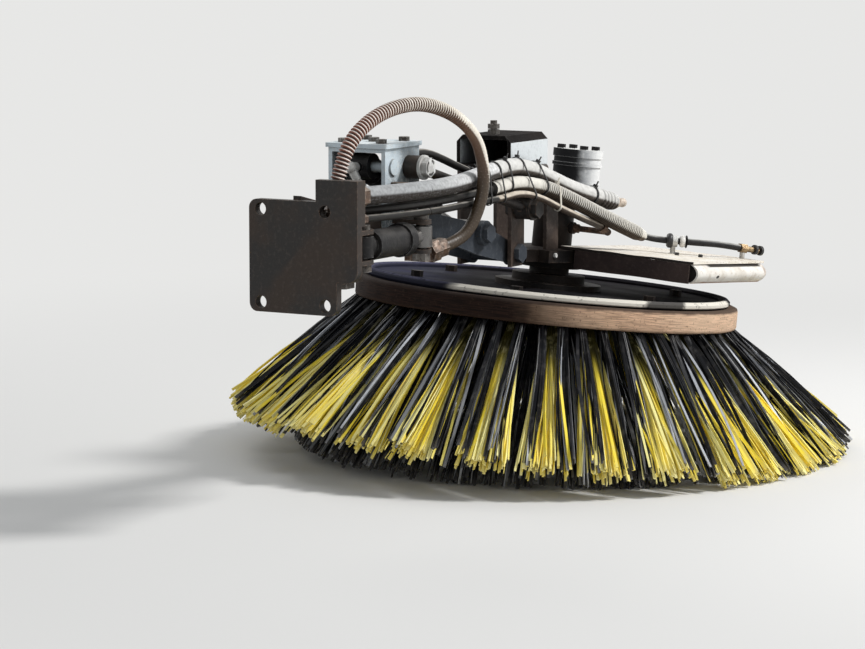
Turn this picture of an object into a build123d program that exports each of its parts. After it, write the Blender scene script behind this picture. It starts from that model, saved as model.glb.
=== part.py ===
from build123d import *
import os
from math import acos, atan2, cos, degrees, hypot, pi, radians, sin, tan

# Side brush unit of a street sweeper, in millimetres.
# Origin: centre of the mount plate's back face. +X is the direction of travel,
# -Y points outward to the kerb, +Z is up. The ground lies at ground_z.

# Overall places
ground_z = -356.0
brush_tilt = 6.0
tilt_heading = -34.0

# Fits and gaps
pin_clearance = 0.05
face_gap = 0.3
side_gap = 5.0
tie_gap = 0.8
tie_width = 4.0
tie_thickness = 2.0

# Chassis bracket
plate_width = 136.0
plate_height = 150.0
plate_thickness = 12.0
bolt_spacing_y = 100.0
bolt_spacing_z = 124.0
bolt_hole_radius = 8.5
lug_thickness = 12.0
lug_half_width = 32.0
swing_pin_x = 115.0
swing_pin_radius = 12.5
sleeve_radius = 26.0
sleeve_bottom = -30.0
sleeve_top = 50.0
sleeve_web = 22.0
gusset_rise = 18.0
gusset_back = 24.0
hose_plate_thickness = 8.0
hose_plate_y = (-100.0, -64.0)
hose_plate_z = (44.0, 104.0)
ear_bottom = -30.0
ear_corner = 16.0
shelf_thickness = 6.0
shelf_half_width = 13.0
shelf_overhang = 15.0
shelf_below_conduit = 46.0
gland_height = 12.0
gland_flats = 24.0

# Swing arm
wall = 6.0
knuckle_rear = 163.0
knuckle_front = 254.0
knuckle_half_width = 45.0
knuckle_top = 134.0
knuckle_foot = -12.0
nose_top = 86.0
nose_bottom = 16.0
nose_setback = 6.0
toe_setback = 18.0
top_plate_thickness = 6.0
top_plate_overhang = 4.0
top_bolt_flats = 13.0
top_bolt_height = 6.0
top_bolt_inset = 15.0
stand_off_x = (178.0, 190.0)
stand_off_z = (58.0, 88.0)
stand_off_outer = -81.0
beam_flare_x = 158.0
beam_bottom = -5.0
beam_top = 45.0
beam_end = 190.0

# Parallelogram
lower_pivot_x = 225.0
lower_pivot_z = 40.0
pivot_rise = 66.0
link_length = 325.0
link_fall = 14.5
pivot_radius = 8.0
upper_rod_radius = 7.0
upper_eye_radius = 16.0
upper_eye_width = 22.0
lower_plate_drop = 19.0
lower_plate_crown = 25.0
rear_eye_radius = 15.0
front_eye_radius = 18.0
cross_tube_radius = 13.0
boss_along_link = 228.0
boss_rise = 13.0
boss_radius = 18.0
boss_height = 9.0

# Lift cylinder
lift_pin_x = 184.0
lift_pin_z = 108.0
lift_barrel_radius = 19.0
lift_barrel_length = 190.0
lift_rod_radius = 10.0
lift_rod_length = 200.0
lift_eye_radius = 18.0
lift_eye_width = 28.0
lift_pin_radius = 8.0
round_head_height = 3.0
lift_stub_radius = 7.0
lift_stub_reach = 6.0

# Swing cylinder
swing_rear_pin = (37.0, -85.0)
swing_front_pin = (196.0, -82.0)
swing_axis_z = 15.0
swing_barrel_radius = 20.0
swing_barrel_length = 112.0
swing_rod_radius = 10.0
swing_rod_length = 112.0
swing_eye_radius = 15.0
swing_eye_width = 28.0
swing_eye_pin_radius = 7.0
swing_lug_gap = 34.0
rod_eye_slack = 3.0

# Head, from its lower pivot
brush_ahead_of_pivot = 176.4
brush_below_pivot = 68.6
box_behind_pivot = 22.6
box_length = 113.0
box_above_pivot = 122.4
box_height = 49.0
box_chamfer = 10.0
cheek_foot_ahead = 124.4
cheek_knee_above = 77.4
cheek_knee_curve = 60.0
tilt_bolt_height = 20.0
tilt_nut_flats = 15.0
tilt_nut_height = 7.0
rear_leg_width = 34.0
rear_leg_drop = 18.6
front_leg_width = 36.0
window_top = 104.0
window_slope = 14.0
window_corner = 8.0
base_thickness = 18.0
base_top_above_disc = 60.0
base_rear = -144.0
base_rear_half = 36.0
base_shoulder = -108.0
base_front = 60.0
base_inner = 54.0
base_outer = -54.0
tongue_rear = -28.0
tongue_front = 50.0
tongue_outer = -86.0
bearing_radius = 30.0
bearing_flange_radius = 46.0
bearing_flange_thickness = 12.0
bearing_top = 125.0
case_thickness = 22.0
motor_offset = 27.6
motor_heading = -47.0
motor_radius = 37.5
motor_height = 63.0
motor_cover_height = 12.0
motor_waist = 2.0
motor_bands = (8.0, 38.0)
motor_band_height = 5.0
motor_bolt_circle = 27.0
motor_bolt_count = 4
port_boss_radius = 9.0
port_boss_height = 6.0
motor_port_heading = -60.0
drain_port_height = 92.0

# Guard tray, in the tilted frame of the brush
guard_rear = -37.0
guard_front = 228.0
guard_outer = -255.0
guard_inner = -58.0
guard_lip = -34.0
guard_depth = 32.0
guard_wall = 5.0
guard_corner = 16.0

# Brush
disc_radius = 276.0
disc_thickness = 5.0
rim_width = 12.0
rim_height = 7.0
rim_chamfer = 4.0
board_radius = 289.0
board_thickness = 32.0
hub_radius = 55.0
hub_height = 20.0
hub_gap = 1.0
shaft_radius = 14.0
bristle_length = 272.0
disc_bolt_circle = 205.0
disc_bolt_count = 6

# Tuft rows: root circle, splay from the axis, share of a pitch turned, colour
tufts_in_row = 30
tuft_root_size = 7.0
tuft_tip_size = 17.0
tuft_rows = (
    (276.0, 47.0, 0.0, "black"),
    (246.0, 43.0, 0.5, "yellow"),
    (214.0, 30.0, 0.0, "black"),
)

# Hose routes, each from its fitting on the chassis or the arm to the head
nut_over_hose = 3.0
pressure_radius = 12.5
pressure_route = (
    (34, -86, 82), (84, -91, 81), (145, -95, 80), (223, -93, 79), (304, -83, 80), (381, -76, 86),
    (442, -68, 90), (500, -62, 89), (559, -60, 79), (608, -62, 63), (652, -74, 45), (700, -84, 32),
    (756, -89, 19),
)
water_radius = 6.0
water_sleeve_radius = 10.3
water_route = (
    (34, -73, 61), (84, -83, 61), (148, -90, 61), (227, -86, 60), (307, -80, 60), (381, -76, 62),
    (429, -75, 65), (484, -74, 67), (535, -76, 60), (580, -82, 48), (633, -94, 27), (691, -104, 4),
    (751, -112, -18), (800, -118, -35),
)
drain_radius = 5.0
drain_route = (
    (34, -90, 52), (84, -94, 51), (150, -98, 50), (230, -95, 49), (311, -86, 49), (380, -86, 49),
    (424, -85, 50), (465, -90, 54), (518, -92, 44), (576, -94, 24), (647, -94, 3), (705, -96, -14),
)
thin_radius = 5.5
thin_route = (
    (251, -31, 121), (280, -30, 122), (309, -31, 118), (337, -34, 109), (362, -42, 98),
    (388, -51, 87), (425, -56, 81), (465, -56, 77), (507, -54, 70), (548, -53, 64),
)
lift_hose_radius = 5.0
lift_hose_route = (
    (154, -6, 92), (159, -12, 80), (168, -20, 70), (176, -25, 62), (180, -26, 52),
)
conduit_radius = 9.25
conduit_sleeve_wall = 2.5
conduit_fitting_run = 15.0
conduit_route = (
    (29, -50, 94), (36, -54, 124), (53, -60, 156), (90, -68, 180), (136, -76, 193),
    (189, -84, 196), (243, -91, 185), (287, -97, 165), (316, -102, 139), (328, -104, 108),
    (331, -104, 75), (323, -101, 44), (307, -94, 14), (287, -85, 0), (264, -78, -5),
)
spray_radius = 5.0
spray_route = (
    (800, -118, -35), (817, -125, -40), (830, -141, -43), (843, -163, -45), (862, -186, -48),
    (886, -207, -51), (916, -226, -58),
)
nozzle_tip = (955, -244, -66)

lower_rear = Vector(lower_pivot_x, 0, lower_pivot_z)
upper_rear = lower_rear + Vector(0, 0, pivot_rise)
link_run = Vector(cos(radians(link_fall)), 0, -sin(radians(link_fall)))
link_normal = Vector(-link_run.Z, 0, link_run.X)
lower_front = lower_rear + link_run * link_length
upper_front = upper_rear + link_run * link_length
boss_centre = lower_rear + link_run * boss_along_link + link_normal * boss_rise
lift_pin = Vector(lift_pin_x, 0, lift_pin_z)
lift_aim = (boss_centre - lift_pin).normalized()
disc_top_centre = lower_front + Vector(brush_ahead_of_pivot, 0, -brush_below_pivot)
tilt_hinge = Axis((0, 0, 0), (-sin(radians(tilt_heading)), cos(radians(tilt_heading)), 0))
box_rear = lower_front.X - box_behind_pivot
box_front = box_rear + box_length
box_bottom = lower_front.Z + box_above_pivot
box_top = box_bottom + box_height
motor_centre = Vector(motor_offset, 0, 0).rotate(Axis.Z, motor_heading)
motor_foot = bearing_top + case_thickness
tray_top = base_top_above_disc + face_gap + guard_wall


def rod(start, end, radius):
    """Solid round bar between two points."""
    start = Vector(start)
    end = Vector(end)
    frame = Plane(origin=start, z_dir=end - start)
    return extrude(frame * Circle(radius), (end - start).length)


def across(point, y_from, y_to, radius):
    """Round bar along Y through a point of the XZ plane."""
    return rod((point.X, y_from, point.Z), (point.X, y_to, point.Z), radius)


def upright(x, y, z_from, z_to, radius):
    """Round bar along Z."""
    return rod((x, y, z_from), (x, y, z_to), radius)


def block(x0, x1, y0, y1, z0, z1):
    """Box between two corners."""
    centre = Location(((x0 + x1) / 2, (y0 + y1) / 2, (z0 + z1) / 2))
    return centre * Box(abs(x1 - x0), abs(y1 - y0), abs(z1 - z0))


def side_plate(outline, y_from, y_to):
    """Plate with an outline in X and Z, between two Y values."""
    face = Plane.XZ * (Polygon(*outline, align=None) if isinstance(outline, list) else outline)
    plate = extrude(face, y_to - y_from, dir=(0, 1, 0))
    return Pos(0, y_from, 0) * plate


def flat_plate(points, z_from, z_to):
    """Plate with an outline in X and Y, between two Z values."""
    plate = extrude(Polygon(*points, align=None), z_to - z_from, dir=(0, 0, 1))
    return Pos(0, 0, z_from) * plate


def hexagon_bar(start, end, across_flats):
    """Hexagon bar, nut or bolt head between two points."""
    start = Vector(start)
    end = Vector(end)
    frame = Plane(origin=start, z_dir=end - start)
    outline = frame * RegularPolygon(across_flats / 2, 6, major_radius=False)
    return extrude(outline, (end - start).length)


def hex_head(centre, direction, across_flats, height):
    """Hexagon bolt head standing on a face."""
    centre = Vector(centre)
    return hexagon_bar(centre, centre + Vector(direction).normalized() * height, across_flats)


def tilted(shape):
    """Carry a shape from the brush's own frame, at the disc, to its place."""
    return Pos(*disc_top_centre) * shape.rotate(tilt_hinge, brush_tilt)


def tilted_point(x, y, z):
    """Carry a point from the brush's own frame to its place."""
    return Vector(x, y, z).rotate(tilt_hinge, brush_tilt) + disc_top_centre


brush_up = Vector(0, 0, 1).rotate(tilt_hinge, brush_tilt)


def save(name, shape):
    """Write one sub-part to its STEP file."""
    export_step(shape, "parts/" + name + ".step")


os.makedirs("parts", exist_ok=True)


# Chassis bracket
swing_lug_levels = (swing_axis_z + swing_lug_gap / 2, swing_axis_z - swing_lug_gap / 2 - wall)
shelf_centre_x = plate_thickness + shelf_half_width + 4
shelf_top = conduit_route[0][2] - shelf_below_conduit


def pin_lug(level):
    """Rounded lug at one end of the swing pin."""
    lug = block(plate_thickness, swing_pin_x, -lug_half_width, lug_half_width,
                level, level + lug_thickness)
    return lug + upright(swing_pin_x, 0, level, level + lug_thickness, lug_half_width)


def chassis_bracket():
    """Mount plate with the lugs of the arm and its cylinder, and the hose plate and shelf."""
    half_w = plate_width / 2
    half_h = plate_height / 2
    body = block(0, plate_thickness, -half_w, half_w, -half_h, half_h)
    body = fillet(body.edges().filter_by(Axis.X), lug_thickness)
    ear = block(0, plate_thickness, hose_plate_y[0], lug_half_width - half_w, ear_bottom,
                hose_plate_z[1])
    outer_edge = ear.edges().filter_by(Axis.X).group_by(Axis.Y)[0]
    body += fillet(outer_edge.sort_by(Axis.Z)[:1], ear_corner)
    top_level = sleeve_top + face_gap
    low_level = sleeve_bottom - face_gap - lug_thickness
    body += pin_lug(top_level) + pin_lug(low_level)
    for level, rise in ((top_level + lug_thickness, gusset_rise), (low_level, -gusset_rise)):
        body += side_plate([(plate_thickness, level), (swing_pin_x - gusset_back, level),
                            (plate_thickness, level + rise)], -wall, wall)
    pin_x, pin_y = swing_rear_pin
    for level in swing_lug_levels:
        lug = block(plate_thickness, pin_x, pin_y - swing_eye_radius, pin_y + swing_eye_radius,
                    level, level + wall)
        body += lug + upright(pin_x, pin_y, level, level + wall, swing_eye_radius)
    body += block(plate_thickness, plate_thickness + hose_plate_thickness, *hose_plate_y,
                  *hose_plate_z)
    shelf_y = conduit_route[0][1]
    body += block(plate_thickness, shelf_centre_x + shelf_overhang, shelf_y - shelf_half_width,
                  shelf_y + shelf_half_width, shelf_top - shelf_thickness, shelf_top)
    reach = plate_height
    body -= upright(swing_pin_x, 0, -reach, reach, swing_pin_radius + pin_clearance)
    body -= upright(pin_x, pin_y, -reach, swing_lug_levels[0] + wall,
                    swing_eye_pin_radius + pin_clearance)
    for y in (-bolt_spacing_y / 2, bolt_spacing_y / 2):
        for z in (-bolt_spacing_z / 2, bolt_spacing_z / 2):
            body -= rod((-1, y, z), (plate_thickness + hose_plate_thickness + 1, y, z),
                        bolt_hole_radius)
    return body


def headed_pin(x, y, z_from, z_to, radius):
    """Vertical pin with a flat head above and a nut below."""
    pin = upright(x, y, z_from, z_to, radius)
    head = upright(x, y, z_to, z_to + 6, radius * 1.5)
    return pin + head + hex_head((x, y, z_from), (0, 0, -1), radius * 3, 10)


def root_fittings():
    """Hose nuts on the hose plate and the conduit's gland with its plain sleeve."""
    face = plate_thickness + hose_plate_thickness
    solids = []
    for route, radius in ((pressure_route, pressure_radius), (water_route, water_radius),
                          (drain_route, drain_radius)):
        end, y, z = route[0]
        flats = radius * 2 + nut_over_hose
        solids.append(hexagon_bar((face, y, z), (end, y, z), flats))
    x, y, top = conduit_route[0]
    nut_top = shelf_top + gland_height
    gland = hexagon_bar((x, y, shelf_top), (x, y, nut_top), gland_flats)
    solids.append(gland + upright(x, y, nut_top, top, conduit_radius + conduit_sleeve_wall))
    return Compound(children=solids)


swing_pin_low = sleeve_bottom - face_gap - lug_thickness
swing_pin_high = sleeve_top + face_gap + lug_thickness
save("mount_bracket", chassis_bracket())
save("swing_pin", headed_pin(swing_pin_x, 0, swing_pin_low, swing_pin_high, swing_pin_radius))
save("swing_cylinder_rear_pin", headed_pin(*swing_rear_pin, swing_lug_levels[1],
                                           swing_lug_levels[0] + wall, swing_eye_pin_radius))
root_nuts = root_fittings()
save("root_fittings", root_nuts)


# Swing arm
cheek_inner = knuckle_half_width - wall


def swing_beam():
    """Pin sleeve with the flaring beam that carries the knuckle."""
    outline = [(swing_pin_x, -sleeve_web), (beam_flare_x, -cheek_inner), (beam_end, -cheek_inner),
               (beam_end, cheek_inner), (beam_flare_x, cheek_inner), (swing_pin_x, sleeve_web)]
    body = flat_plate(outline, beam_bottom, beam_top)
    body += upright(swing_pin_x, 0, sleeve_bottom, sleeve_top, sleeve_radius)
    body -= upright(swing_pin_x, 0, sleeve_bottom - 1, sleeve_top + 1,
                    swing_pin_radius + pin_clearance)
    return body


def knuckle():
    """Inverted channel open to the rear and front, with the pivot bores."""
    outline = [(knuckle_rear, knuckle_top), (knuckle_front, knuckle_top),
               (knuckle_front, nose_top), (knuckle_front - nose_setback, nose_bottom),
               (knuckle_front - toe_setback, knuckle_foot), (knuckle_rear, knuckle_foot)]
    body = side_plate(outline, -knuckle_half_width, -cheek_inner)
    body += side_plate(outline, cheek_inner, knuckle_half_width)
    body += block(knuckle_rear, knuckle_front, -cheek_inner, cheek_inner, knuckle_top - wall,
                  knuckle_top)
    wide = knuckle_half_width + 1
    body -= across(lower_rear, -wide, wide, pivot_radius + pin_clearance)
    body -= across(upper_rear, -wide, 0, pivot_radius + pin_clearance)
    body -= across(lift_pin, -wide, wide, lift_pin_radius + pin_clearance)
    return body


def knuckle_top_plate():
    """Lid on the knuckle, a little wider than it."""
    over = top_plate_overhang
    half = knuckle_half_width + over
    lid = block(knuckle_rear - over, knuckle_front + over, -half, half, knuckle_top,
                knuckle_top + top_plate_thickness)
    return fillet(lid.edges().filter_by(Axis.Z), over)


def top_bolts():
    """Four bolts at the lid's corners and one at its middle."""
    middle = (knuckle_rear + knuckle_front) / 2
    places = [(middle, 0)]
    aside = knuckle_half_width - top_bolt_inset
    for x in (knuckle_rear + top_bolt_inset, knuckle_front - top_bolt_inset):
        for y in (-aside, aside):
            places.append((x, y))
    level = knuckle_top + top_plate_thickness
    return Compound(children=[hex_head((x, y, level), (0, 0, 1), top_bolt_flats,
                                       top_bolt_height) for x, y in places])


def swing_rod_lugs():
    """Pair of lugs on the knuckle's outer cheek for the swing cylinder's rod eye."""
    pin_x, pin_y = swing_front_pin
    nose = swing_eye_radius - 1
    solids = []
    for level in swing_lug_levels:
        lug = block(pin_x - nose, pin_x + nose, pin_y, -knuckle_half_width, level, level + wall)
        lug += upright(pin_x, pin_y, level, level + wall, nose)
        lug -= upright(pin_x, pin_y, level - 1, level + wall + 1,
                       swing_eye_pin_radius + pin_clearance)
        solids.append(lug)
    return Compound(children=solids)


def pivot_bolt(point, y_inner, y_outer):
    """Short bolt with a wide washer and a hexagon head on the kerb side."""
    shank = across(point, y_inner, y_outer, pivot_radius)
    washer = across(point, y_outer, y_outer - 4, pivot_radius * 2 + 1)
    head = hex_head((point.X, y_outer - 4, point.Z), (0, -1, 0), pivot_radius * 3, 9)
    nut = hex_head((point.X, y_inner, point.Z), (0, 1, 0), pivot_radius * 3, 9)
    return shank + washer + head + nut


def cross_pin(point, half, radius):
    """Through bolt across the two cheeks."""
    shank = across(point, -half, half, radius)
    head = hex_head((point.X, -half, point.Z), (0, -1, 0), radius * 3, 8)
    nut = hex_head((point.X, half, point.Z), (0, 1, 0), radius * 3, 8)
    return shank + head + nut


def round_pin(point, half, radius):
    """Pin across the two cheeks with a low round head at each end."""
    return across(point, -half - round_head_height, -half, radius + 3) + across(
        point, -half, half, radius) + across(point, half, half + round_head_height, radius + 3)


def arm_fittings():
    """Hose stand-off, the conduit's end fitting, and the two small ports of the knuckle."""
    stand_off = block(*stand_off_x, stand_off_outer, -knuckle_half_width, *stand_off_z)
    end = Vector(conduit_route[-1])
    aim = (end - Vector(conduit_route[-2])).normalized()
    first = end + aim * conduit_fitting_run
    second = first + aim * conduit_fitting_run
    conduit_end = hexagon_bar(end, first, gland_flats)
    conduit_end += hexagon_bar(first, second, gland_flats + 4)
    conduit_end += block(second.X - 22, second.X + 2, second.Y - 8, -knuckle_half_width,
                         second.Z - 11, second.Z + 13)
    thin_x, thin_y, thin_z = thin_route[0]
    thin_port = block(thin_x - 10, thin_x, thin_y - 6, thin_y + 6, thin_z - thin_radius - 1,
                      knuckle_top - wall)
    hose_x, hose_y, hose_z = lift_hose_route[-1]
    hose_nut = hexagon_bar((hose_x, hose_y, beam_top), (hose_x, hose_y, hose_z), 14)
    return Compound(children=[stand_off, conduit_end, thin_port, hose_nut])


upper_link_inner = -knuckle_half_width - face_gap
upper_link_outer = upper_link_inner - upper_eye_width
washer_face = upper_link_outer - face_gap

save("swing_beam", swing_beam())
save("knuckle", knuckle())
save("knuckle_top_plate", knuckle_top_plate())
save("knuckle_top_bolts", top_bolts())
save("swing_rod_lugs", swing_rod_lugs())
save("swing_rod_pin", headed_pin(*swing_front_pin, swing_lug_levels[1],
                                 swing_lug_levels[0] + wall, swing_eye_pin_radius))
save("upper_rear_pivot", pivot_bolt(upper_rear, -cheek_inner, washer_face))
save("lower_rear_pivot", cross_pin(lower_rear, knuckle_half_width, pivot_radius))
save("lift_barrel_pin", round_pin(lift_pin, knuckle_half_width, lift_pin_radius))
arm_ports = arm_fittings()
save("arm_fittings", arm_ports)


# Upper and lower links
def upper_link():
    """Round rod with an eye at each end, outside the cheeks."""
    middle = (upper_link_inner + upper_link_outer) / 2
    start = Vector(upper_rear.X, middle, upper_rear.Z)
    end = Vector(upper_front.X, middle, upper_front.Z)
    body = rod(start, end, upper_rod_radius)
    for point in (upper_rear, upper_front):
        body += across(point, upper_link_inner, upper_link_outer, upper_eye_radius)
    for point in (upper_rear, upper_front):
        body -= across(point, upper_link_inner + 1, upper_link_outer - 1,
                       pivot_radius + pin_clearance)
    return body


def lower_link():
    """Two lens-shaped side plates joined by a cross tube at each pivot, with a boss."""
    outer = cheek_inner - side_gap
    inner = outer - wall
    rear_half = rear_eye_radius - 3
    front_half = front_eye_radius - 3
    middle = lower_rear + link_run * boss_along_link
    corners = (lower_rear + link_normal * rear_half, middle + link_normal * lower_plate_crown,
               lower_front + link_normal * front_half, lower_front - link_normal * front_half,
               middle - link_normal * lower_plate_drop, lower_rear - link_normal * rear_half)
    face = Polygon(*[(p.X, p.Z) for p in corners], align=None)
    bends = face.vertices().sort_by(lambda v: abs(v.X - middle.X))[:2]
    face = fillet(bends, boss_radius * 3)
    body = None
    for near, far in ((-outer, -inner), (inner, outer)):
        cheek = side_plate(face, near, far)
        cheek += across(lower_rear, near, far, rear_eye_radius)
        cheek += across(lower_front, near, far, front_eye_radius)
        body = cheek if body is None else body + cheek
    body += across(lower_rear, -inner, inner, cross_tube_radius)
    body += across(lower_front, -inner, inner, cross_tube_radius)
    body += across(boss_centre, -outer - boss_height, -outer, boss_radius)
    body += across(boss_centre, outer, outer + boss_height, boss_radius)
    wide = outer + boss_height + 1
    body -= across(lower_rear, -wide, wide, pivot_radius + pin_clearance)
    body -= across(lower_front, -wide, wide, pivot_radius + face_gap)
    body -= across(boss_centre, -wide, wide, lift_pin_radius + pin_clearance)
    return body


save("upper_link", upper_link())
save("lower_link", lower_link())
boss_face = cheek_inner - side_gap + boss_height
save("lower_link_boss_pin", cross_pin(boss_centre, boss_face, lift_pin_radius))


# Hydraulic cylinders
def barrel(start, aim, length, radius, bore, eye_radius, eye_width, pin_radius, eye_axis):
    """Barrel with a rear eye and a stepped gland."""
    start = Vector(start)
    lay = Vector(eye_axis)
    shoulder = eye_radius + 3
    tube = rod(start + aim * shoulder, start + aim * length, radius)
    tube += rod(start, start + aim * shoulder, eye_width / 2)
    tube += rod(start + aim * (length - 16), start + aim * length, radius + 3)
    tube += rod(start - lay * (eye_width / 2), start + lay * (eye_width / 2), eye_radius)
    tube -= rod(start + aim * (eye_radius + 6), start + aim * (length + 1), bore)
    tube -= rod(start - lay * eye_width, start + lay * eye_width, pin_radius + pin_clearance)
    return tube


def piston_rod(end, aim, length, radius, eye_radius, eye_width, pin_radius, eye_axis):
    """Rod with its eye, whose bore leaves room for the drift of the open linkage."""
    end = Vector(end)
    lay = Vector(eye_axis)
    body = rod(end, end - aim * length, radius)
    body += rod(end - lay * (eye_width / 2), end + lay * (eye_width / 2), eye_radius)
    body -= rod(end - lay * eye_width, end + lay * eye_width, pin_radius + rod_eye_slack)
    return body


def lift_port_elbow():
    """Elbow on the rear of the lift cylinder, from its stub to the short hose."""
    end = Vector(lift_hose_route[0])
    corner = Vector(lift_pin.X - lift_eye_radius * 2, 0, lift_pin.Z)
    body = rod(lift_pin + Vector(-lift_stub_length, 0, 0), corner, lift_stub_radius)
    body += Pos(*corner) * Sphere(lift_stub_radius + 1.5)
    body += rod(corner, end, lift_stub_radius - 1)
    return body


swing_rear = Vector(*swing_rear_pin, swing_axis_z)
swing_front = Vector(*swing_front_pin, swing_axis_z)
swing_aim = (swing_front - swing_rear).normalized()
lift_stub_length = lift_eye_radius + lift_stub_reach
lift_barrel = barrel(lift_pin, lift_aim, lift_barrel_length, lift_barrel_radius,
                     lift_rod_radius + pin_clearance, lift_eye_radius, lift_eye_width,
                     lift_pin_radius, (0, 1, 0))
lift_barrel += rod(lift_pin + Vector(-lift_pin_radius - 4, 0, 0),
                   lift_pin + Vector(-lift_stub_length, 0, 0), lift_stub_radius)
save("swing_barrel", barrel(swing_rear, swing_aim, swing_barrel_length, swing_barrel_radius,
                            swing_rod_radius + pin_clearance, swing_eye_radius, swing_eye_width,
                            swing_eye_pin_radius, (0, 0, 1)))
save("swing_rod", piston_rod(swing_front, swing_aim, swing_rod_length, swing_rod_radius,
                             swing_eye_radius, swing_eye_width, swing_eye_pin_radius,
                             (0, 0, 1)))
save("lift_barrel", lift_barrel)
save("lift_rod", piston_rod(boss_centre, lift_aim, lift_rod_length, lift_rod_radius,
                            lift_eye_radius, lift_eye_width, lift_pin_radius, (0, 1, 0)))
rear_elbow = lift_port_elbow()
save("lift_port_elbow", rear_elbow)


# Head
cheek_front = lower_front.X + cheek_foot_ahead
cheek_knee = lower_front.Z + cheek_knee_above
feet_level = disc_top_centre.Z


def head_box():
    """Rectangular tube open to the rear, with chamfered upper corners."""
    half = knuckle_half_width
    outer = block(box_rear, box_front, -half, half, box_bottom, box_top)
    top_edges = outer.edges().filter_by(Axis.X).group_by(Axis.Z)[-1]
    outer = chamfer(top_edges, box_chamfer)
    inner = block(box_rear - 1, box_front - wall, -cheek_inner, cheek_inner,
                  box_bottom + wall, box_top - wall)
    return outer - inner


def head_cheek_outline():
    """Cheek with a curved rear leg, a sloping front edge and a window, in X and Z."""
    rear = box_rear + 2
    leg_bottom = lower_front.Z - rear_leg_drop
    leg_front = rear + rear_leg_width
    outline = Polygon((rear, box_bottom), (box_front, box_bottom), (cheek_front, cheek_knee),
                      (cheek_front, feet_level), (leg_front, feet_level),
                      (leg_front, leg_bottom), (rear, leg_bottom),
                      (rear, lower_front.Z + front_eye_radius), align=None)
    knee = outline.vertices().sort_by(
        lambda v: hypot(v.X - cheek_front, v.Y - cheek_knee))[:1]
    outline = fillet(knee, cheek_knee_curve)
    side = leg_front + side_gap
    inner_side = cheek_front - front_leg_width
    top = lower_front.Z + window_top
    window = Polygon((side, top), (inner_side - window_slope, top),
                     (inner_side, cheek_knee - window_slope), (inner_side, feet_level),
                     (side, feet_level), align=None)
    window = fillet(window.vertices().group_by(Axis.Y)[-1], window_corner)
    return outline - window


def head_cheeks():
    """Two cheeks under the head box, cut to the tilted base plate."""
    half = knuckle_half_width
    far = disc_radius * 2
    under = tilted(block(-far, far, -far, far, -far, base_top_above_disc))
    leg = block(box_rear, box_rear + 2 + rear_leg_width, -half, half,
                lower_front.Z - rear_leg_drop, box_bottom)
    outline = head_cheek_outline()
    wide = half + 1
    solids = []
    for near in (-half, cheek_inner):
        cheek = side_plate(outline, near, near + wall)
        cheek = (cheek - under) + (cheek & leg)
        cheek -= across(lower_front, -wide, wide, pivot_radius + pin_clearance)
        if near < 0:
            cheek -= across(upper_front, -wide, 0, pivot_radius + pin_clearance)
        solids.append(cheek)
    return Compound(children=solids)


def base_plate():
    """Tilted plate under the cheeks, with the tongue that carries the guard tray."""
    outline = [(base_rear, base_rear_half), (base_shoulder, base_rear_half),
               (base_shoulder, base_inner), (base_front, base_inner), (base_front, base_outer),
               (tongue_front, base_outer), (tongue_front, tongue_outer),
               (tongue_rear, tongue_outer), (tongue_rear, base_outer),
               (base_shoulder, base_outer), (base_shoulder, -base_rear_half),
               (base_rear, -base_rear_half)]
    plate = flat_plate(outline, base_top_above_disc - base_thickness, base_top_above_disc)
    plate -= upright(0, 0, 0, base_top_above_disc + 1, bearing_radius)
    return tilted(plate)


def port_boss(centre, heading, reach, level):
    """Round boss from a housing's axis out to its port face, in the brush's frame."""
    out = Vector(reach, 0, 0).rotate(Axis.Z, heading)
    start = Vector(centre.X, centre.Y, level)
    return rod(start, start + out, port_boss_radius)


def bearing_housing():
    """Bearing housing on the brush axis with the case that carries the motor."""
    body = upright(0, 0, hub_height + hub_gap, bearing_top, bearing_radius)
    under_base = base_top_above_disc - base_thickness
    body += upright(0, 0, under_base - bearing_flange_thickness, under_base,
                    bearing_flange_radius)
    body += upright(0, 0, bearing_top, motor_foot, bearing_flange_radius - wall)
    body += upright(motor_centre.X, motor_centre.Y, bearing_top, motor_foot, motor_radius)
    body += port_boss(motor_centre, motor_port_heading, motor_radius + port_boss_height,
                      motor_port_level)
    body += port_boss(Vector(0, 0, 0), -90, bearing_radius + port_boss_height,
                      drain_port_height)
    body -= upright(0, 0, 0, drain_port_height - port_boss_radius, shaft_radius + pin_clearance)
    return tilted(body)


def motor():
    """Round hydraulic motor with bands, a cover and its bolts."""
    x = motor_centre.X
    y = motor_centre.Y
    top = motor_foot + motor_height
    body = upright(x, y, motor_foot, top, motor_radius - motor_waist)
    for level in motor_bands:
        body += upright(x, y, motor_foot + level, motor_foot + level + motor_band_height,
                        motor_radius)
    body += upright(x, y, top - motor_cover_height, top, motor_radius)
    for turn in range(motor_bolt_count):
        heading = 360 / motor_bolt_count * (turn + 0.5)
        place = Vector(motor_bolt_circle, 0, top).rotate(Axis.Z, heading)
        body += hex_head((x + place.X, y + place.Y, top), (0, 0, 1), 11, 6)
    return tilted(body)


def guard_tray():
    """Folded tray over the kerb side of the brush, with a lip over the base plate."""
    outer = block(guard_rear, guard_front, guard_outer, guard_inner, tray_top - guard_depth,
                  tray_top)
    outer = fillet(outer.edges().filter_by(Axis.Z).group_by(Axis.Y)[0], guard_corner)
    inner = block(guard_rear + guard_wall, guard_front - guard_wall, guard_outer + guard_wall,
                  guard_inner + 1, tray_top - guard_depth - 1, tray_top - guard_wall)
    inner = fillet(inner.edges().filter_by(Axis.Z).group_by(Axis.Y)[0],
                   guard_corner - guard_wall)
    lip = block(guard_rear, guard_front, guard_inner, guard_lip, tray_top - guard_wall, tray_top)
    return tilted(outer - inner + lip)


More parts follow.
